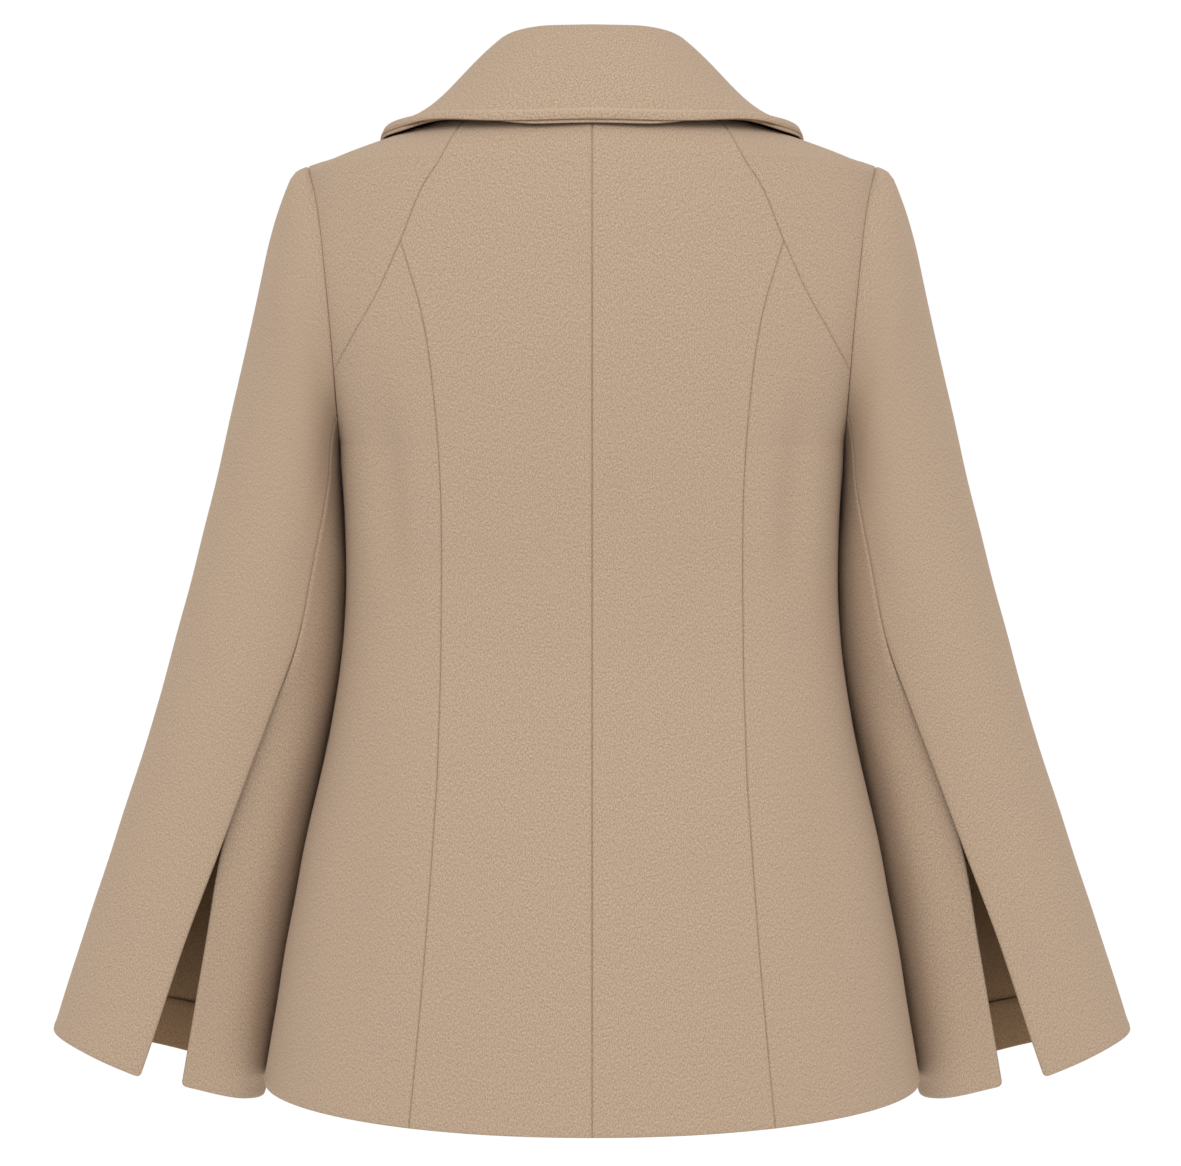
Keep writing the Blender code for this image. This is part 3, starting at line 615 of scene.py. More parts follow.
def round_corner(points, side, radius):
    """Rounds a panel's corner between its side edge, 0 or -1, and its hem."""
    way = -1.0 if side else 1.0
    across = lengths_along(np.swapaxes(points, 0, 1)).T
    from_side = np.abs(across - across[:, side][:, None])
    down = lengths_along(points)
    from_hem = down[-1] - down
    p = np.clip(1.0 - from_side / radius, 0.0, 1.0)
    q = np.clip(1.0 - from_hem / radius, 0.0, 1.0)
    inward = unit(np.gradient(points, axis=1)) * way
    upward = -unit(np.gradient(points, axis=0))
    shift_in = radius * (p - p * np.sqrt(1.0 - q * q / 2.0))
    shift_up = radius * (q - q * np.sqrt(1.0 - p * p / 2.0))
    points += inward * shift_in[..., None] + upward * shift_up[..., None]


def uneven(points, depth):
    """The slight unevenness of thick cloth that hangs free."""
    angles = points @ np.array([WAVES[axis] for axis in "xyz"]) + np.array(WAVES["start"])
    waves = np.sin(angles)
    return depth * (waves[..., 0] * waves[..., 1] + FINE_WAVES * waves[..., 2] * waves[..., 3])


def wool_wall(points, normals, sizes, seams=(), free=(), wall=WALL, lift=0.0):
    """Outer and inner sides of a cloth wall. Each seam and free edge is a line of points with
    its weight, 0 to 1, in each row or for the whole panel."""
    raised = np.zeros(points.shape[:-1]) + lift
    sunk = np.zeros(points.shape[:-1])
    radius = wall * EDGE_RADIUS
    fall = np.zeros(points.shape[:-1])
    for line, weight in seams:
        sunk = sunk + pressed(distance_to(points, line), sizes) * weight
    for line, weight in free:
        away = distance_to(points, line)
        fall = np.maximum(fall, rounded(away, radius) * weight)
        roll = np.exp(-((away / sizes.edge_roll_at - 1.0) / ROLL_REACH) ** 2)
        sunk = sunk + sizes.edge_roll * roll * weight * ease(away, 0.0, radius)
    base = points + normals * raised[..., None]
    outer = base + normals * (sunk - fall)[..., None]
    inner = base - normals * (wall - fall)[..., None]
    return outer, inner


def pull_in(grid):
    """Moves the side edges of a panel half a seam gap towards its middle."""
    grid[:, 0] += unit(grid[:, 1] - grid[:, 0]) * (SEAM_GAP / 2.0)
    grid[:, -1] += unit(grid[:, -2] - grid[:, -1]) * (SEAM_GAP / 2.0)


def grain_of(points, shift):
    """Where each point lies in the flat cloth, in metres, so that the nap follows the panel."""
    across = lengths_along(np.swapaxes(points, 0, 1)).T
    middle = across[:, across.shape[1] // 2][:, None]
    down = lengths_along(points[:, points.shape[1] // 2])[:, None]
    return across - middle + shift, np.broadcast_to(down, across.shape) + shift


def add_object(name, bm, finishes, node):
    """The finished piece. A thin curved shell can come out of the recalculation with all its faces
    inwards, which its negative volume tells, and then they are turned round."""
    bmesh.ops.recalc_face_normals(bm, faces=bm.faces)
    if bm.calc_volume(signed=True) < 0.0:
        bmesh.ops.reverse_faces(bm, faces=bm.faces)
    mesh = bpy.data.meshes.new(name)
    bm.to_mesh(mesh)
    bm.free()
    mesh.shade_smooth()
    mesh.set_sharp_from_angle(angle=math.radians(SHARP_CLOTH))
    for finish in finishes:
        mesh.materials.append(finish)
    made = bpy.data.objects.new(name, mesh)
    bpy.context.scene.collection.objects.link(made)
    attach(made, "root")
    if node:
        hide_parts(node)
    return made


def add_cloth(piece, outer, inner, colours, side="", slot="wool_melton", rim_highlight=None):
    """One panel of cloth between its outer and inner side. The right one is the left one's
    mirror image, with its own stretch of the pattern."""
    mirror = -1.0 if side == "right" else 1.0
    rows, columns = outer.shape[:2]
    count = rows * columns
    shift = GRAIN_SHIFT * CUTS["piece"].index(piece) + (GRAIN_SHIFT_RIGHT if mirror < 0.0 else 0.0)
    across, down = grain_of(outer, shift)
    if piece.endswith("collar"):
        across, down = down, across
    grains = np.concatenate((stack(across, down, 0.0).reshape(-1, 3),
                             stack(across, down, WALL).reshape(-1, 3))).tolist()
    points = np.concatenate((outer.reshape(-1, 3), inner.reshape(-1, 3)))
    points = (points * (mirror, 1.0, 1.0)).tolist()
    bm = bmesh.new()
    bmesh.ops.create_grid(bm, x_segments=columns - 1, y_segments=rows - 1, size=1.0)
    place = bm.verts.layers.int.new("place")
    grain = bm.verts.layers.float_vector.new("grain")
    # The painted highlight's share for each point: a lighter colour where light catches the collar's
    # rim
    highlight_layer = bm.verts.layers.float.new("rim_highlight")
    highlight_share = np.zeros(2 * count)
    if rim_highlight is not None:
        highlight_share[:count] = rim_highlight.ravel()
    for index, vert in enumerate(bm.verts):
        vert[place] = index
    backs = bmesh.ops.extrude_face_region(bm, geom=bm.faces[:])["geom"]
    for part in backs:
        if isinstance(part, bmesh.types.BMVert):
            part[place] += count
        if isinstance(part, bmesh.types.BMFace):
            part.material_index = 1
    for vert in bm.verts:
        vert.co = points[vert[place]]
        vert[grain] = grains[vert[place]]
        vert[highlight_layer] = highlight_share[vert[place]]
    # Inner sides take a darker copy of the melton, painted shade; the turned-up hem takes it on both
    # sides
    finishes = (wool(colours), wool_inside(colours))
    if slot == "wool_inside":
        finishes = (wool_inside(colours), wool_inside(colours))
    node = f"{piece}_{side}" if side else piece
    made = add_object(f"cloth_{node}", bm, finishes, node)
    return made


def add_node(tree, kind, inputs=None, **settings):
    made = tree.nodes.new(kind)
    for name, value in settings.items():
        setattr(made, name, value)
    for name, value in (inputs or {}).items():
        if isinstance(value, bpy.types.NodeSocket):
            tree.links.new(value, made.inputs[name])
        else:
            made.inputs[name].default_value = value
    return made


def new_finish(name, **values):
    """A material with one principled shader, set by its own sockets."""
    made = bpy.data.materials.new(name)
    made.use_nodes = True
    tree = made.node_tree
    shader = tree.nodes["Principled BSDF"]
    for socket, value in values.items():
        shader.inputs[socket.replace("_", " ")].default_value = value
    return made, tree, shader


def math_node(tree, operation, first, second):
    made = add_node(tree, "ShaderNodeMath", {0: first, 1: second}, operation=operation)
    return made.outputs[0]


def mixed(tree, share, first, second, blend="MIX"):
    made = add_node(tree, "ShaderNodeMix", data_type="RGBA", blend_type=blend)
    for place, value in ((0, share), (6, first), (7, second)):
        if isinstance(value, bpy.types.NodeSocket):
            tree.links.new(value, made.inputs[place])
        else:
            made.inputs[place].default_value = value
    return made.outputs[2]


def spread_out(tree, value, low, high):
    """Stretches a narrow range of a pattern to 0 to 1."""
    made = add_node(tree, "ShaderNodeMapRange",
                    {"Value": value, "From Min": low, "From Max": high}, clamp=True)
    return made.outputs["Result"]


def fibre_noise(tree, grain, turn, scale, detail):
    """Short fibres lying one way, as stretched noise on the flat cloth."""
    placed = add_node(tree, "ShaderNodeMapping",
                      {"Vector": grain, "Rotation": (0.0, 0.0, turn), "Scale": scale})
    made = add_node(tree, "ShaderNodeTexNoise", {"Vector": placed.outputs["Vector"], "Scale": 1.0,
                                                 "Detail": detail, "Roughness": 0.62})
    return made.outputs["Fac"]


def melton(name, light, dark, blush, nap, sheen):
    """Napped wool: fibres lighter and darker than the ground, faint patches, a soft sheen, and a
    painted highlight.
    """
    found = bpy.data.materials.get(name)
    if found:
        return found
    made, tree, shader = new_finish(name, Roughness=0.94, Specular_IOR_Level=0.12,
                                    Sheen_Weight=sheen, Sheen_Roughness=0.5,
                                    Sheen_Tint=(1.0, 0.82, 0.66, 1.0))
    grain = add_node(tree, "ShaderNodeAttribute", attribute_name="grain").outputs["Vector"]
    pattern = {name: fibre_noise(tree, grain, turn, scale, detail)
               for name, turn, scale, detail in zip(*FIBRES.values())}
    flecks = math_node(tree, "ADD", math_node(tree, "MULTIPLY", pattern["long"], 0.6),
                       math_node(tree, "MULTIPLY", pattern["cross"], 0.4))
    shade = spread_out(tree, flecks, 0.41, 0.59)
    tint = spread_out(tree, pattern["patches"], 0.50, 0.72)
    ground = mixed(tree, shade, dark, light)
    tinted = mixed(tree, tint, ground, blush, "MULTIPLY")
    # Painted highlight: the colour is mixed towards the pale fibres along the collar rim's line
    rim_highlight = add_node(tree, "ShaderNodeAttribute", attribute_name="rim_highlight").outputs["Fac"]
    tree.links.new(mixed(tree, rim_highlight, tinted, light), shader.inputs["Base Color"])
    height = math_node(tree, "ADD", math_node(tree, "MULTIPLY", flecks, 0.8),
                       math_node(tree, "MULTIPLY", pattern["fuzz"], 0.4))
    bump = add_node(tree, "ShaderNodeBump", {"Height": height, "Strength": 0.55, "Distance": nap})
    tree.links.new(bump.outputs["Normal"], shader.inputs["Normal"])
    return made


def wool(colours):
    return melton("wool_melton_napped", colours.wool_light, colours.wool_dark, colours.wool_blush,
                  colours.nap_depth, 0.09)


# The same melton in darker colours, painted shade for the inside of the coat and the turned-up hem
def wool_inside(colours):
    return melton("wool_melton_shaded_inside", colours.inside_shaded_pale, colours.inside_shaded_dark,
                  colours.wool_blush, colours.nap_depth, 0.03)


def horn(colours):
    """Polished horn: brown with darker and paler streaks that run across the button."""
    found = bpy.data.materials.get("horn_polished")
    if found:
        return found
    made, tree, shader = new_finish("horn_polished", Roughness=0.32, Specular_IOR_Level=0.5,
                                    Coat_Weight=0.25, Coat_Roughness=0.2)
    places = add_node(tree, "ShaderNodeTexCoord").outputs["Object"]
    stretched = add_node(tree, "ShaderNodeMapping", {"Vector": places, "Scale": (90.0, 90.0, 320.0)})
    streaks = add_node(tree, "ShaderNodeTexNoise",
                       {"Vector": stretched.outputs["Vector"], "Scale": 1.0, "Detail": 4.0,
                        "Distortion": 1.2})
    share = spread_out(tree, streaks.outputs["Fac"], 0.35, 0.65)
    tree.links.new(mixed(tree, share, colours.horn_dark, colours.horn_light),
                   shader.inputs["Base Color"])
    return made


def thread(colours):
    """Twisted sewing thread."""
    found = bpy.data.materials.get("thread_twisted")
    if found:
        return found
    made, tree, shader = new_finish("thread_twisted", Base_Color=colours.thread, Roughness=0.7,
                                    Sheen_Weight=0.2)
    places = add_node(tree, "ShaderNodeTexCoord").outputs["Object"]
    twist = add_node(tree, "ShaderNodeTexWave",
                     {"Vector": places, "Scale": 900.0, "Distortion": 1.0},
                     bands_direction="DIAGONAL")
    bump = add_node(tree, "ShaderNodeBump", {"Height": twist.outputs["Fac"], "Strength": 0.6,
                                             "Distance": 0.0002})
    tree.links.new(bump.outputs["Normal"], shader.inputs["Normal"])
    return made


def body_levels(top, bottom, corners=()):
    """Heights of a body panel's rows: round the armhole by turn, elsewhere evenly."""
    round_armhole = armhole_point(np.linspace(0.0, 180.0, ARMHOLE_STEPS + 1))[:, 2]
    over = np.arange(NECK_Z, TIP_Z, -ROW_STEP / 2.0)
    under = graded_levels(UNDERARM_Z, HEM_Z, ROW_STEP)
    levels = np.concatenate((over, round_armhole, under))
    levels = levels[(levels < top - LEAST_STEP) & (levels > bottom + LEAST_STEP)]
    for corner in corners:
        levels = levels[np.abs(levels - corner) > 2.0 * LEAST_STEP]
    ends = [corner for corner in corners if bottom < corner < top]
    return np.array(sorted({top, bottom, *ends, *levels.tolist()}, reverse=True))


def outer_edge(levels, at_back):
    """Where a panel ends at the side: the shoulder ridge, the armhole or the side seam."""
    turn = armhole_turn(levels)
    beside = turn_at(armhole_point(np.where(at_back, turn, -turn))[..., 0], levels, at_back)
    return np.where((levels >= TIP_Z) | (levels <= UNDERARM_Z), 90.0, beside)


def soft_body_point(turns, heights, at_back):
    """The body's outside, with the turn over the shoulder rounded away from its seams."""
    inside = ease(np.abs(outer_edge(heights, at_back) - turns), 0.0, SOFTEN_TURNS)
    near = 1.0 - ease(np.abs(heights - TIP_Z), SOFTEN_REACH / 2.0, SOFTEN_REACH)
    near = near * (1.0 - ease(np.abs(turns - 90.0), SOFTEN_FROM, SOFTEN_TO))
    step = SOFTEN_STEP * inside * near
    total = 0.0
    for place, share in enumerate(SOFTEN_SHARES, start=-(len(SOFTEN_SHARES) // 2)):
        total = total + body_point(turns, heights + place * step) * share
    return total / sum(SOFTEN_SHARES)


def drop_tip(points):
    """Lowers the back of the shoulder's end, on both sides of the armhole seam."""
    away = np.linalg.norm(points - np.array(TIP_DROP_PLACE), axis=-1)
    points[..., 2] -= TIP_DROP * np.exp(-(away / TIP_DROP_RADIUS) ** 2)


def side_line(at_back):
    """The line of the shoulder seam, the armhole and the side seam."""
    over = np.linspace(NECK_Z, TIP_Z, LINE_SAMPLES // 3)
    turns = np.linspace(0.0, 180.0, LINE_SAMPLES) * (1.0 if at_back else -1.0)
    under = np.linspace(UNDERARM_Z, HEM_Z, LINE_SAMPLES)
    return np.concatenate((body_point(90.0, over), armhole_point(turns), body_point(90.0, under)))


def on_armhole(levels, low, high):
    return (levels >= low - 1e-6) & (levels <= high + 1e-6)


def body_wall(piece, levels, start, end, sizes, armhole=False, lift=None, front_edge=None):
    """Both sides of a body panel, sunk at its seams, rounded at its hem, ending on the armhole."""
    at_back = piece.startswith("back")
    armhole = armhole & np.ones(len(levels), bool)
    turns, heights = lay_grid(body_point, levels, start, end, COLUMNS[piece])
    points = soft_body_point(turns, heights, at_back)
    normals = body_normal(turns, heights)
    drop_tip(points)
    pull_in(points)
    if front_edge is not None:
        round_corner(points, 0, FRONT_CORNER)
    edge = points[:, -1].copy()
    left = points[:, 0].copy()
    raised = creased("back" if at_back else "front", points) + uneven(points, sizes.unevenness)
    raised = raised * ease(distance_to(points, side_line(at_back)), 0.0, SIDE_FADE)
    if not at_back:
        raised = raised * ease(points[..., 0], *OVERLAP_CALM)
    raised = raised + crevice(heights, turns - 90.0)
    if lift:
        raised = raised + lift(points[..., 0], heights)
    sewn = np.where(armhole, ARMHOLE_PRESS, 1.0)
    seams = [(edge, sewn[:, None])]
    free = []
    if front_edge is None:
        seams.append((left, 1.0))
    else:
        free.append((left, front_edge[:, None]))
    if levels[-1] <= HEM_Z + 1e-6:
        free.append((points[-1].copy(), 1.0))
    outer, inner = wool_wall(points, normals, sizes, seams, free, lift=raised)
    for row in np.nonzero(armhole)[0]:
        turn = armhole_turn(levels[row]) * (1.0 if at_back else -1.0)
        outer[row, -1, 0] -= ARMHOLE_GAP / 2.0
        inner[row, -1] = outer[row, -1] + armhole_inward(turn) * (WALL - sizes.seam_depth)
    return outer, inner


def back_center(side, sizes, colours):
    """The panel from the centre-back seam to the diagonal and princess seams."""
    levels = body_levels(NECK_Z, HEM_Z, (FORK_Z,))
    x = np.where(levels >= FORK_Z, read(DIAGONAL, "x", levels), read(PRINCESS, "x", levels))
    far = turn_at(x, levels, True)
    outer, inner = body_wall("back_center", levels, 0.0 * far, far, sizes)
    return add_cloth("back_center", outer, inner, colours, side)


def back_side(side, sizes, colours):
    """The panel below the diagonal seam, from the princess seam to the armhole and side seam."""
    levels = body_levels(FORK_Z - SEAM_TIP, HEM_Z, (DIAGONAL_END_Z,))
    near = turn_at(read(PRINCESS, "x", levels), levels, True)
    diagonal = turn_at(read(DIAGONAL, "x", levels), levels, True)
    far = np.where(levels > DIAGONAL_END_Z, diagonal, outer_edge(levels, True))
    armhole = on_armhole(levels, UNDERARM_Z, DIAGONAL_END_Z)
    outer, inner = body_wall("back_side", levels, near, far, sizes, armhole)
    return add_cloth("back_side", outer, inner, colours, side)


def back_shoulder(side, sizes, colours):
    """The panel above the diagonal seam, up to the shoulder seam and the armhole."""
    levels = body_levels(NECK_Z, DIAGONAL_END_Z + SEAM_TIP, (TIP_Z,))
    near = turn_at(read(DIAGONAL, "x", levels), levels, True)
    armhole = on_armhole(levels, DIAGONAL_END_Z, TIP_Z)
    far = outer_edge(levels, True)
    outer, inner = body_wall("back_shoulder", levels, near, far, sizes, armhole)
    return add_cloth("back_shoulder", outer, inner, colours, side)


def roll_line_x(z):
    """Distance of the lapel's roll line, or below it of the front edge, from the centre."""
    share = (z - BREAK_Z) / (NECK_Z - BREAK_Z)
    neck_x = BODY["half_width"][0]
    return -OVERLAP + (neck_x + OVERLAP) * np.maximum(share, 0.0)


def over_lift(x, z):
    """How far the upper front stands off the under front, and off the lapel under it."""
    across = 1.0 - ease(x, LIFT_FULL_X, LIFT_NONE_X)
    below_neck = 1.0 - ease(z, LIFT_FULL_Z, LIFT_NONE_Z)
    return 2.0 * (WALL + LAYER_GAP) * across * below_neck


def front(side, sizes, colours):
    """A front, from the shoulder seam, armhole and side seam to the roll line and front edge."""
    levels = body_levels(FRONT_TOP_Z, HEM_Z, (TIP_Z, UNDERARM_Z, BREAK_Z))
    near = turn_at(roll_line_x(levels), levels, False)
    armhole = on_armhole(levels, UNDERARM_Z, TIP_Z)
    far = outer_edge(levels, False)
    edge = 1.0 - ease(levels, BREAK_Z - BREAK_EASE, BREAK_Z)
    lift = over_lift if side == "right" else None
    outer, inner = body_wall("front", levels, near, far, sizes, armhole, lift, edge)
    return add_cloth("front", outer, inner, colours, side)


def lapel(side, sizes, colours):
    """The lapel lies on its front, rolled over from the roll line to a tip at the gorge."""
    v = LAPEL_START + (1.0 - LAPEL_START) * graded(1.0, LAPEL_ROWS)
    u = graded(LAPEL_WIDTH, COLUMNS["lapel"]) / LAPEL_WIDTH
    roll_z = BREAK_Z + (LAPEL_TOP_Z - BREAK_Z) * v
    roll = np.stack((roll_line_x(roll_z), roll_z), axis=-1)
    start = np.array((-OVERLAP, BREAK_Z))
    tip = np.array((LAPEL_TIP_X, LAPEL_TIP_Z))
    belly = np.array(LAPEL_BELLY_WAY) * LAPEL_BELLY * np.sin(math.pi * v)[:, None]
    edge = start + (tip - start) * v[:, None] + belly
    flat = roll[:, None, :] + (edge - roll)[:, None, :] * u[None, :, None]
    flat[..., 1] += GORGE_RISE * np.sin(math.pi * u)[None, :] * v[:, None] ** 4
    x, z = flat[..., 0], flat[..., 1]
    turns = turn_at(x, z, False)
    normals = body_normal(turns, z)
    level = WALL + LAYER_GAP + (over_lift(x, z) if side == "right" else 0.0)
    points = body_point(turns, z) + normals * np.asarray(level)[..., None]
    free = [(points[:, -1].copy(), 1.0), (points[-1].copy(), 1.0), (points[0].copy(), 1.0)]
    outer, inner = wool_wall(points, normals, sizes, (), free)
    way = unit(points[:, 0] - points[:, 3])
    fold = []
    middle = LAYER_GAP / 2.0
    for angle in np.radians(np.arange(-90.0, 90.0, 22.5)):
        fold.append([points[:, 0] + way * (radius * math.cos(angle))
                     + normals[:, 0] * (radius * math.sin(angle) - WALL - middle)
                     for radius in (WALL + middle, middle)])
    outer = np.concatenate((np.stack([pair[0] for pair in fold], axis=1), outer), axis=1)
    inner = np.concatenate((np.stack([pair[1] for pair in fold], axis=1), inner), axis=1)
    return add_cloth("lapel", outer, inner, colours, side)


def hem_share(turns):
    """How far the outer panel's hem drops: not at the outer side, and fully at front and slit."""
    less = (HEM_DROP_FRONT - HEM_DROP_BEHIND) * ease(-turns, *HEM_BEHIND_TURNS)
    at_front = ease(-turns, *HEM_FRONT_TURNS) * (HEM_DROP_FRONT - less)
    return np.maximum(at_front, HEM_DROP_SLIT * ease(turns, *HEM_SLIT_TURNS))


def sleeve_levels():
    """Places along the sleeve for its rows, close together at the armhole and the hem."""
    places = np.linspace(0.0, SLEEVE_END, SLEEVE_SAMPLES)
    lengths = lengths_along(sleeve_point(np.full(SLEEVE_SAMPLES, 90.0), places))
    return np.interp(graded(lengths[-1], SLEEVE_ROWS), lengths, places)


def sleeve_wall(piece, levels, start, end, slit_edge, corner, sizes):
    """Both sides of a sleeve panel. One side edge is sewn down to the slit and free below it."""
    at_body = piece == "under_sleeve"
    surface = under_point if at_body else sleeve_point
    turns, places = lay_grid(surface, levels, start, end, COLUMNS[piece])
    points = surface(turns, places)
    normals = sleeve_normal(turns, places, surface)
    folded = np.abs((turns + 180.0) % 360.0 - 180.0)
    raised = uneven(points, sizes.unevenness) * ease(places, *SLEEVE_CALM)
    raised = raised + crevice(points[..., 2], 180.0 - folded)
    cap = ease(places, *CAP_RISES) * (1.0 - ease(places, *CAP_FALLS))
    raised = raised + CAP_RISE * cap * np.exp(-(folded / CAP_TURN) ** 2)
    share = 1.0 if at_body else hem_share(turns)
    points[..., 2] -= HEM_DROP * share * ease(places, HEM_DROP_FROM, SLEEVE_END)
    drop_tip(points)
    pull_in(points)
    round_corner(points, slit_edge, corner)
    sewn = 1.0 - ease(levels, SLIT_TOP - SLIT_EASE, SLIT_TOP + SLIT_EASE)
    slit = points[:, slit_edge].copy()
    front_seam = points[:, -1 - slit_edge].copy()
    seams = [(slit, sewn[:, None]), (front_seam, 1.0), (points[0].copy(), ARMHOLE_PRESS)]
    free = [(slit, (1.0 - sewn)[:, None]), (points[-1].copy(), 1.0)]
    outer, inner = wool_wall(points, normals, sizes, seams, free, lift=raised)
    outer[0, :, 0] += ARMHOLE_GAP / 2.0
    inner[0] = outer[0] + armhole_inward(turns[0]) * (WALL - sizes.seam_depth)
    return outer, inner


def top_sleeve(side, sizes, colours):
    """The outer sleeve panel, from the front seam over the shoulder to the back seam and slit."""
    levels = sleeve_levels()
    front_seam = np.full(len(levels), FRONT_SEAM_TURN - 360.0)
    back_seam = read(SLEEVE, "seam", levels)
    outer, inner = sleeve_wall("top_sleeve", levels, front_seam, back_seam, -1, SLIT_CORNER, sizes)
    return add_cloth("top_sleeve", outer, inner, colours, side)


def under_sleeve(side, sizes, colours):
    """The under sleeve panel, next to the body, with its free edge inside the slit."""
    levels = sleeve_levels()
    front_seam = np.full(len(levels), FRONT_SEAM_TURN)
    free_edge = read(SLEEVE, "edge", levels)
    outer, inner = sleeve_wall("under_sleeve", levels, free_edge, front_seam, 0, UNDER_CORNER, sizes)
    return add_cloth("under_sleeve", outer, inner, colours, side)


def sleeve_facing(side, sizes, colours):
    """The turned-up hem inside the outer sleeve panel, which shows through the slit."""
    levels = np.linspace(FACING_FROM, FACING_TO, FACING_ROWS)
    start = np.full(FACING_ROWS, FRONT_SEAM_TURN - 360.0 + FACING_FRONT_TURN)
    end = read(SLEEVE, "seam", levels) - FACING_BACK_TURN
    turns, places = lay_grid(sleeve_point, levels, start, end, COLUMNS["sleeve_hem_facing"])
    normals = sleeve_normal(turns, places)
    depth = WALL + FACING_GAP
    points = sleeve_point(turns, places) - normals * depth
    points[..., 2] -= HEM_DROP * hem_share(turns) * ease(places, HEM_DROP_FROM, SLEEVE_END)
    above = ease(-places, -FACING_TO, -FACING_FROM)
    points[..., 2] += FACING_TILT * ease(-turns, *FACING_TILT_TURNS) * above
    free = [(points[0].copy(), 1.0)]
    outer, inner = wool_wall(points, normals, sizes, (), free, wall=FACING_WALL)
    # The turned-up hem is all in the darker copy of the melton, painted shade
    return add_cloth("sleeve_hem_facing", outer, inner, colours, side, "wool_inside")


def neckline_point(around):
    """The line that the collar's stand is sewn to, just above the edge of the body panels."""
    side_turn = np.minimum(90.0 * around / COLLAR_SIDE, 90.0)
    side = body_point(side_turn, np.full(len(around), NECK_Z))
    outward = unit(side * (1.0, 1.0, 0.0))
    raised = np.array((0.0, 0.0, COLLAR_GAP))
    at_side = side - outward * (WALL / 2.0) + raised
    share = np.clip((around - COLLAR_SIDE) / (1.0 - COLLAR_SIDE), 0.0, 1.0)
    z = NECK_Z + (GORGE_Z - NECK_Z) * share ** GORGE_BEND
    turn = turn_at(roll_line_x(z), z, False)
    inward = np.array(GORGE_INWARD) * np.minimum(share * GORGE_INWARD_RATE, 1.0)[:, None]
    at_front = body_point(turn, z) - body_normal(turn, z) * (WALL / 2.0)
    at_front = at_front + inward * COLLAR_FOOT + raised
    return np.where((around <= COLLAR_SIDE)[:, None], at_side, at_front)


def clear_of_body(points, lift):
    """Moves points outwards until they lie at least the lift away from the body."""
    at_back = points[..., 1] > 0.0
    z = np.minimum(points[..., 2], NECK_Z)
    power = read(BODY, "power", z)
    depth = np.where(at_back, read(BODY, "back", z), read(BODY, "front", z))
    across = (np.abs(points[..., 0]) / body_width(z, at_back)) ** power
    share = (across + (np.abs(points[..., 1]) / depth) ** power) ** (1.0 / power)
    turn = turn_at(points[..., 0] / share, z, at_back)
    normal = body_normal(turn, z)
    gap = ((points - body_point(turn, z)) * normal).sum(-1)
    push = np.where(points[..., 2] > NECK_Z, 0.0, np.maximum(lift - gap, 0.0))
    return points + normal * push[..., None]


def fall_shares():
    """Places down the collar's fall, close together at its pressed rim and its edge."""
    rim = 1.0 - np.array(RIM_STEPS) / FALL_LENGTH
    return np.concatenate((np.linspace(0.0, rim[0], FALL_ROWS)[1:-1], rim))


def collar_profiles(around):
    """The line between the two collar layers at each place, from the stand over the roll."""
    foot = neckline_point(around)
    centre = np.stack([read(COLLAR, name, around) for name in ("roll_x", "roll_y", "roll_z")], -1)
    turn = read(COLLAR, "edge_turn", around)
    z = read(COLLAR, "edge_z", around)
    lift = UNDER_COLLAR + LAYERS_APART / 2.0 + read(COLLAR, "off", around)
    edge = body_point(turn, z) + body_normal(turn, z) * lift[:, None]
    out = unit((edge - foot) * (1.0, 1.0, 0.0))
    up = np.array((0.0, 0.0, 1.0))
    fall = edge - centre
    lean = np.arctan2(fall[:, 2], (fall * out).sum(-1)) + math.pi / 2.0
    stand_top = centre - out * ROLL_RADIUS
    lines = [foot + (stand_top - foot) * row / STAND_ROWS for row in range(STAND_ROWS)]
    for share in np.linspace(0.0, 1.0, ROLL_ROWS):
        angle = (math.pi + (lean - math.pi) * share)[:, None]
        lines.append(centre + (out * np.cos(angle) + up * np.sin(angle)) * ROLL_RADIUS)
    start = lines[-1]
    way = out * np.cos(lean)[:, None] + up * np.sin(lean)[:, None]
    swell = way * read(COLLAR, "swell", around)[:, None]
    for share in fall_shares():
        point = start + (edge - start) * share + swell * math.sin(math.pi * share) * share
        lines.append(clear_of_body(point, lift))
    return np.stack(lines, axis=1), out


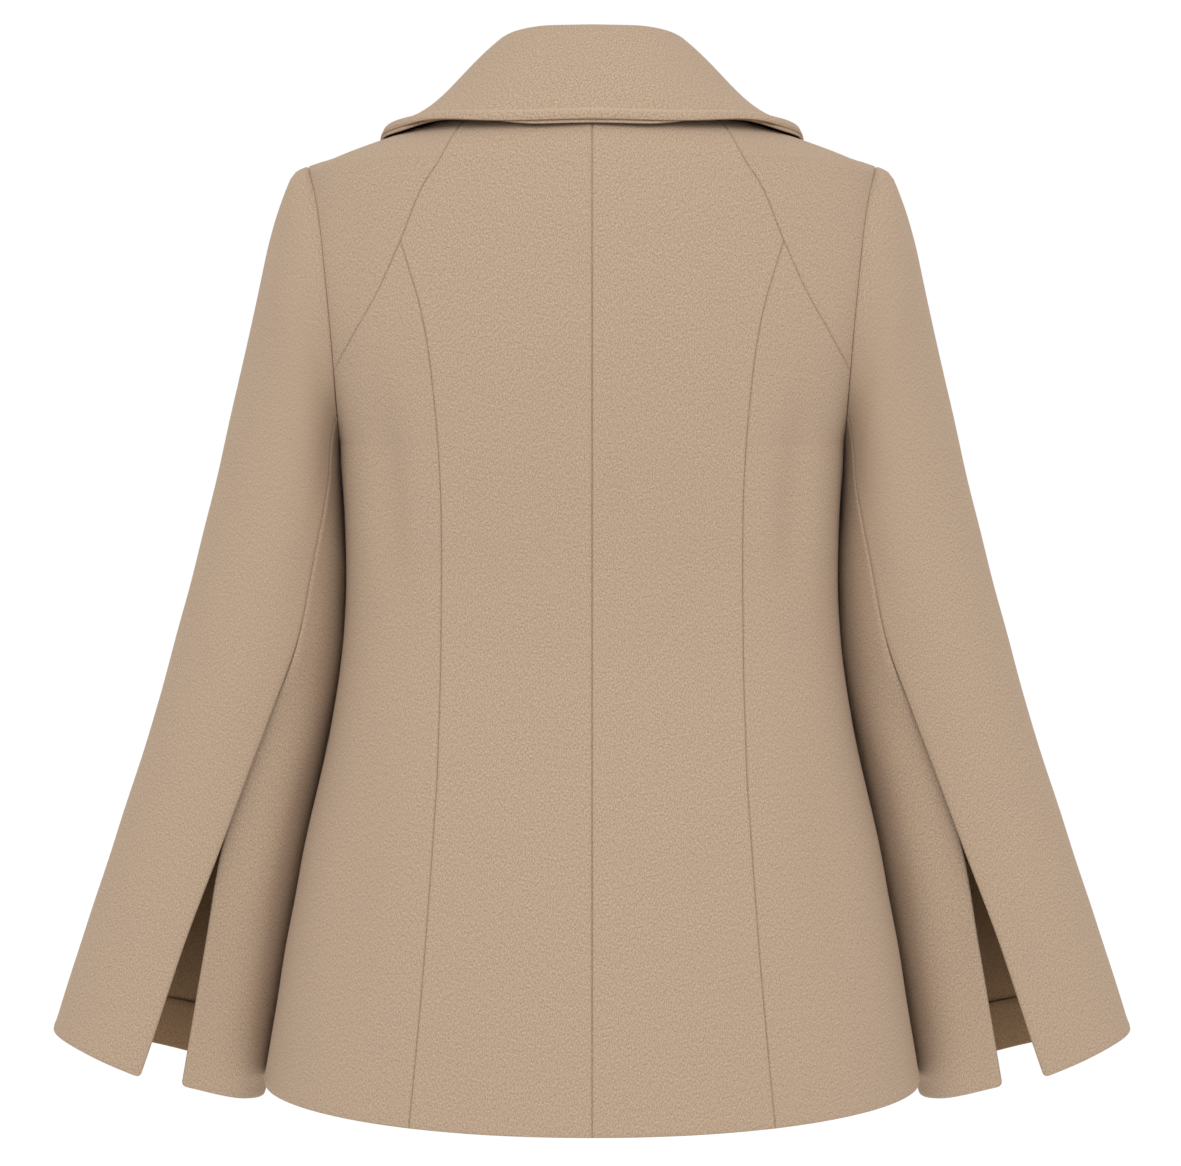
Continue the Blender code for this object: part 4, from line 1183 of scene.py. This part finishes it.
def collar_layer(piece, inner_offset, outer_offset, show, sizes, colours):
    """One layer of the collar, both sides of the centre back."""
    half = 1.0 - (graded(COLLAR_HALF, COLLAR_STEPS) / COLLAR_HALF)[::-1]
    around = np.unique(np.concatenate((-half, half)))
    points, out = collar_profiles(np.abs(around))
    sign = np.where(around < 0.0, -1.0, 1.0)
    up = np.array((0.0, 0.0, 1.0))
    place = np.abs(around)
    way = np.gradient(points, axis=1)
    normals = unit(up * (way * out[:, None]).sum(-1, keepdims=True) - out[:, None] * way[..., 2:])
    droop = ease(place, DROOP_FROM, DROOP_FULL) * (1.0 - ease(place, DROOP_FADES, DROOP_TO))
    droop = droop * np.minimum(read(COLLAR, "off", place) - COLLAR_CLEAR, RIM_DROOP)
    near = lengths_along(np.swapaxes(points, 0, 1)[::-1])[::-1].T
    if show:
        hidden = ease(place, SHOW_FULL, SHOW_NONE) * (1.0 - ease(place, SHOW_AGAIN, SHOW_ALL))
        reach = show - (show + UNDER_EDGE_HIDE) * hidden
        points += unit(way) * (reach[:, None] * (1.0 - ease(near, 0.0, UNDER_EDGE_REACH)))[..., None]
    points -= normals * (rounded(near / RIM_CURL, 1.0) * droop[:, None])[..., None]
    points = points * stack(sign, 1.0, 1.0)[:, None]
    normals = normals * stack(sign, 1.0, 1.0)[:, None]
    middle = points + normals * outer_offset
    wall = outer_offset - inner_offset
    free = [(middle[:, -1].copy(), 1.0), (middle[0].copy(), 1.0), (middle[-1].copy(), 1.0)]
    rim = 0.0
    rim_highlight = None
    if piece == "top_collar":
        from_edge = near / sizes.rim_width
        # Painted highlight: a lighter line just inside the rim's width, where light catches the
        # pressed ledge
        rim_highlight = RIM_HIGHLIGHT * np.exp(-((from_edge - HIGHLIGHT_PLACE) / HIGHLIGHT_REACH) ** 2)
        rim = sizes.rim_height * (1.0 - ease(from_edge, 1.0, RIM_END)) * ease(from_edge, 0.0, RIM_FULL)
    outer, inner = wool_wall(middle, normals, sizes, (), free, wall=wall)
    outer = outer + normals * np.asarray(rim)[..., None]
    return add_cloth(piece, outer, inner, colours, rim_highlight=rim_highlight)


def seat_of_button(x, z, seat):
    """The place of a button's back on the upper front, turned to face outwards."""
    turn = turn_at(np.array(x), np.array(z), False)
    normal = body_normal(turn, np.array(z))
    point = body_point(turn, np.array(z)) + normal * (over_lift(x, z) + seat)
    mirrored = Vector((-point[0], point[1], point[2]))
    facing = Vector((-normal[0], normal[1], normal[2]))
    return Matrix.Translation(mirrored) @ facing.to_track_quat("Z", "Y").to_matrix().to_4x4()


def spun(profile, steps):
    bm = bmesh.new()
    verts = [bm.verts.new((radius, 0.0, height)) for radius, height in profile]
    edges = [bm.edges.new(pair) for pair in zip(verts, verts[1:])]
    bmesh.ops.spin(bm, geom=verts + edges, axis=(0, 0, 1), cent=(0, 0, 0), angle=math.tau,
                   steps=steps, use_merge=True)
    bmesh.ops.remove_doubles(bm, verts=bm.verts, dist=1e-6)
    return bm


def hole_places():
    half = HOLE_SPACING / 2.0
    return [(x, y) for x in (-half, half) for y in (-half, half)]


def button(name, node, place, colours):
    """A dished horn button with a rounded rim and four holes."""
    rim = BUTTON_RADIUS
    tall = BUTTON_THICKNESS
    profile = [(0.0, 0.0), (rim * BUTTON_BACK, 0.0)]
    for angle in np.radians(np.arange(-90.0, 91.0, 18.0)):
        profile.append((rim * (1.0 - BUTTON_RIM + BUTTON_RIM * math.cos(angle)),
                        tall * (0.5 + 0.5 * math.sin(angle))))
    profile += [(rim * radius, tall * height) for radius, height in zip(*DISH.values())]
    bm = spun(profile, 72)
    made = add_object(name, bm, (horn(colours),), node)
    cutters = bmesh.new()
    for x, y in hole_places():
        bmesh.ops.create_cone(cutters, cap_ends=True, segments=20, radius1=HOLE_RADIUS,
                              radius2=HOLE_RADIUS, depth=tall * 4.0,
                              matrix=Matrix.Translation((x, y, 0.0)))
    mesh = bpy.data.meshes.new("button_holes")
    cutters.to_mesh(mesh)
    cutters.free()
    cutter = bpy.data.objects.new("button_holes", mesh)
    bpy.context.scene.collection.objects.link(cutter)
    cut = made.modifiers.new("holes", "BOOLEAN")
    cut.object = cutter
    cut.solver = "EXACT"
    cut.operation = "DIFFERENCE"
    bpy.context.view_layer.update()
    depsgraph = bpy.context.evaluated_depsgraph_get()
    drilled = bpy.data.meshes.new_from_object(made.evaluated_get(depsgraph))
    made.modifiers.clear()
    made.data = drilled
    bpy.data.objects.remove(cutter, do_unlink=True)
    made.data.transform(place)
    made.data.shade_smooth()
    made.data.set_sharp_from_angle(angle=math.radians(SHARP_BUTTON))
    return made


def button_thread(name, place, colours):
    """Two bars of thread across the holes, two strands each."""
    bm = bmesh.new()
    half = HOLE_SPACING / 2.0
    sunk = BUTTON_THICKNESS * THREAD_TOP - STRAND_DEPTH
    for y in (-half, half):
        for strand in (-STRAND_OFFSET, STRAND_OFFSET):
            foot = Matrix.Translation((-half, y + strand, sunk))
            verts = bmesh.ops.create_circle(bm, cap_ends=False, segments=8, radius=STRAND_RADIUS,
                                            matrix=foot)["verts"]
            edges = list({edge for vert in verts for edge in vert.link_edges})
            bmesh.ops.spin(bm, geom=verts + edges, axis=(0, 1, 0), cent=(0.0, y, sunk),
                           angle=math.pi, steps=12, use_merge=False)
    flat = Matrix.Diagonal((1.0, 1.0, THREAD_FLATNESS, 1.0))
    bmesh.ops.transform(bm, matrix=place @ flat, verts=bm.verts)
    bmesh.ops.holes_fill(bm, edges=bm.edges, sides=8)
    return add_object(name, bm, (thread(colours),), None)


def length_property(name, description, default, least=0.0):
    return bpy.props.FloatProperty(name=name, description=description, default=default, min=least,
                                   unit="LENGTH")


def colour_property(name, description, default):
    return bpy.props.FloatVectorProperty(name=name, description=description, default=default,
                                         size=4, min=0.0, max=1.0, subtype="COLOR")


class PeacoatSizes(bpy.types.PropertyGroup):
    """Sizes of the pressed seams, the edges and the nap."""
    seam_depth: length_property("Seam depth", "How deep a pressed seam sinks", 0.0009)
    seam_width: length_property("Seam width", "Half width of a pressed seam's line", 0.0005, 0.0002)
    seam_swell: length_property("Seam swell", "Rise of the cloth over the seam's allowance", 0.0003)
    edge_roll: length_property("Edge roll", "Swelling of the cloth beside a turned edge", 0.00045)
    edge_roll_at: length_property("Edge roll place", "Distance of that swelling from the edge",
                                  0.0048, 0.001)
    rim_height: length_property("Rim height", "Rise of the collar's pressed rim", 0.0011)
    rim_width: length_property("Rim width", "Width of the collar's pressed rim", 0.0062, 0.001)
    unevenness: length_property("Unevenness", "Depth of the cloth's slight unevenness", 0.00035)


class PeacoatColours(bpy.types.PropertyGroup):
    """Colours and fineness of the finishes, in linear light."""
    wool_light: colour_property("Wool, pale fibres", "Pale fibres of the melton",
                                (0.470, 0.350, 0.250, 1.0))
    wool_dark: colour_property("Wool, dark fibres", "Dark fibres of the melton",
                               (0.282, 0.201, 0.138, 1.0))
    wool_blush: colour_property("Wool, patches", "Tint of the faint rosy patches in the melton",
                                (0.994, 0.982, 1.0, 1.0))
    # The inner side's two colours are the wool's own colours darkened, painted shade for the inside of
    # the coat
    inside_shaded_pale: colour_property("Inside, pale", "Pale fibres of the cloth's inner side",
                                  (0.300, 0.190, 0.105, 1.0))
    inside_shaded_dark: colour_property("Inside, dark", "Dark fibres of the cloth's inner side",
                                 (0.200, 0.122, 0.066, 1.0))
    horn_light: colour_property("Horn, pale", "Pale streaks of the buttons",
                                (0.190, 0.100, 0.050, 1.0))
    horn_dark: colour_property("Horn, dark", "Dark streaks of the buttons",
                               (0.045, 0.022, 0.012, 1.0))
    thread: colour_property("Thread", "Thread of the buttons", (0.300, 0.200, 0.130, 1.0))
    studio: colour_property("Studio", "The floor and the air round the coat",
                            (1.0, 1.0, 1.0, 1.0))
    nap_depth: length_property("Nap depth", "Depth of the wool's nap", 0.0006)


def settings(context):
    """The sizes and the colours that the scene keeps."""
    return context.scene.peacoat_sizes, context.scene.peacoat_colours


def both_sides(context, panels):
    """Makes the left one of each panel, and then the right ones."""
    sizes, colours = settings(context)
    for side in ("left", "right"):
        for panel in panels:
            panel(side, sizes, colours)


class PEACOAT_OT_back(bpy.types.Operator):
    """Makes the six back panels"""
    bl_idname = "peacoat.back"
    bl_label = "Back"

    def execute(self, context):
        both_sides(context, (back_center, back_side, back_shoulder))
        return {"FINISHED"}


class PEACOAT_OT_fronts(bpy.types.Operator):
    """Makes the two fronts and their lapels"""
    bl_idname = "peacoat.fronts"
    bl_label = "Fronts and lapels"

    def execute(self, context):
        both_sides(context, (front, lapel))
        return {"FINISHED"}


class PEACOAT_OT_sleeves(bpy.types.Operator):
    """Makes the two panels of each sleeve and the turned-up hem inside it"""
    bl_idname = "peacoat.sleeves"
    bl_label = "Sleeves"

    def execute(self, context):
        both_sides(context, (top_sleeve, under_sleeve, sleeve_facing))
        return {"FINISHED"}


class PEACOAT_OT_collar(bpy.types.Operator):
    """Makes the two layers of the collar"""
    bl_idname = "peacoat.collar"
    bl_label = "Collar"

    def execute(self, context):
        sizes, colours = settings(context)
        half_gap = LAYERS_APART / 2.0
        collar_layer("top_collar", half_gap, half_gap + TOP_COLLAR, 0.0, sizes, colours)
        collar_layer("under_collar", -half_gap - UNDER_COLLAR, -half_gap, UNDER_EDGE_SHOW, sizes,
                     colours)
        return {"FINISHED"}


class PEACOAT_OT_buttons(bpy.types.Operator):
    """Makes the six buttons and sews them on"""
    bl_idname = "peacoat.buttons"
    bl_label = "Buttons"

    def execute(self, context):
        colours = settings(context)[1]
        for row, (z, seat) in enumerate(zip(*BUTTONS.values()), start=1):
            for column, x in (("outer", BUTTON_X), ("inner", -BUTTON_X)):
                place = seat_of_button(x, z, seat)
                button(f"horn_button_{column}_{row}", f"button_{column}_{row}", place, colours)
                button_thread(f"thread_{column}_{row}", place, colours)
        return {"FINISHED"}


class PEACOAT_OT_studio(bpy.types.Operator):
    """Sets the floor, the soft light and the camera"""
    bl_idname = "peacoat.studio"
    bl_label = "Studio"

    def execute(self, context):
        colours = settings(context)[1]
        studio_floor(colours)
        studio_light(colours)
        studio_camera()
        return {"FINISHED"}


def studio_floor(colours):
    """A wide pale floor under the coat."""
    bm = bmesh.new()
    bmesh.ops.create_grid(bm, x_segments=1, y_segments=1, size=FLOOR_SIZE / 2.0)
    bmesh.ops.translate(bm, verts=bm.verts, vec=(0.0, 0.0, CAD_LOW.z - FLOOR_DROP))
    mesh = bpy.data.meshes.new("studio_floor")
    bm.to_mesh(mesh)
    bm.free()
    finish, tree, shader = new_finish("studio_white", Base_Color=colours.studio, Roughness=0.9)
    mesh.materials.append(finish)
    floor = bpy.data.objects.new("studio_floor", mesh)
    bpy.context.scene.collection.objects.link(floor)


def studio_light(colours):
    """Even light from all round, and one wide soft light above and behind the camera."""
    world = bpy.data.worlds.new("studio_air")
    world.use_nodes = True
    background = world.node_tree.nodes["Background"]
    background.inputs["Color"].default_value = colours.studio
    background.inputs["Strength"].default_value = WORLD_STRENGTH
    bpy.context.scene.world = world
    lamp = bpy.data.lights.new("key_softbox", "AREA")
    lamp.size = KEY_SIZE
    lamp.energy = KEY_POWER
    made = bpy.data.objects.new("key_softbox", lamp)
    made.location = KEY_PLACE
    aim = Vector((0.0, 0.0, CAMERA_AIM_Z)) - made.location
    made.rotation_euler = aim.to_track_quat("-Z", "Y").to_euler()
    bpy.context.scene.collection.objects.link(made)


def studio_camera():
    """The photograph's view: straight at the back, a little above the middle."""
    lens_pixels = CAMERA_AWAY / PIXEL
    camera = bpy.data.cameras.new("photo_camera")
    camera.sensor_fit = "HORIZONTAL"
    camera.sensor_width = SENSOR
    camera.lens = lens_pixels * SENSOR / PHOTO_WIDTH
    camera.clip_start = CAMERA_NEAR
    camera.clip_end = CAMERA_FAR
    made = bpy.data.objects.new("photo_camera", camera)
    pitch = math.atan((PHOTO_HEIGHT / 2.0 - LEVEL_Y) / lens_pixels)
    sideways = (LEVEL_X - PHOTO_WIDTH / 2.0) * PIXEL
    made.location = (sideways, CAMERA_AWAY, CAMERA_AIM_Z)
    made.rotation_euler = (math.pi / 2.0 - pitch, 0.0, math.pi)
    bpy.context.scene.collection.objects.link(made)
    bpy.context.scene.camera = made
    bpy.context.scene.view_settings.view_transform = "Standard"


class PEACOAT_PT_panel(bpy.types.Panel):
    """Lists the coat's pieces, sizes and colours"""
    bl_idname = "PEACOAT_PT_panel"
    bl_label = "Peacoat"
    bl_space_type = "VIEW_3D"
    bl_region_type = "UI"
    bl_category = "Peacoat"

    def draw(self, context):
        layout = self.layout
        for operator in OPERATORS:
            layout.operator(operator.bl_idname)
        for group in settings(context):
            for name in group.bl_rna.properties.keys():
                if name not in ("rna_type", "name"):
                    layout.prop(group, name)


OPERATORS = (PEACOAT_OT_back, PEACOAT_OT_fronts, PEACOAT_OT_sleeves, PEACOAT_OT_collar,
             PEACOAT_OT_buttons, PEACOAT_OT_studio)
CLASSES = (PeacoatSizes, PeacoatColours, *OPERATORS, PEACOAT_PT_panel)


def register():
    for made in CLASSES:
        bpy.utils.register_class(made)
    bpy.types.Scene.peacoat_sizes = bpy.props.PointerProperty(type=PeacoatSizes)
    bpy.types.Scene.peacoat_colours = bpy.props.PointerProperty(type=PeacoatColours)


def unregister():
    del bpy.types.Scene.peacoat_colours
    del bpy.types.Scene.peacoat_sizes
    for made in reversed(CLASSES):
        bpy.utils.unregister_class(made)


def main():
    register()
    bpy.ops.peacoat.back()
    bpy.ops.peacoat.fronts()
    bpy.ops.peacoat.sleeves()
    bpy.ops.peacoat.collar()
    bpy.ops.peacoat.buttons()
    bpy.ops.peacoat.studio()


if __name__ == "__main__":
    main()
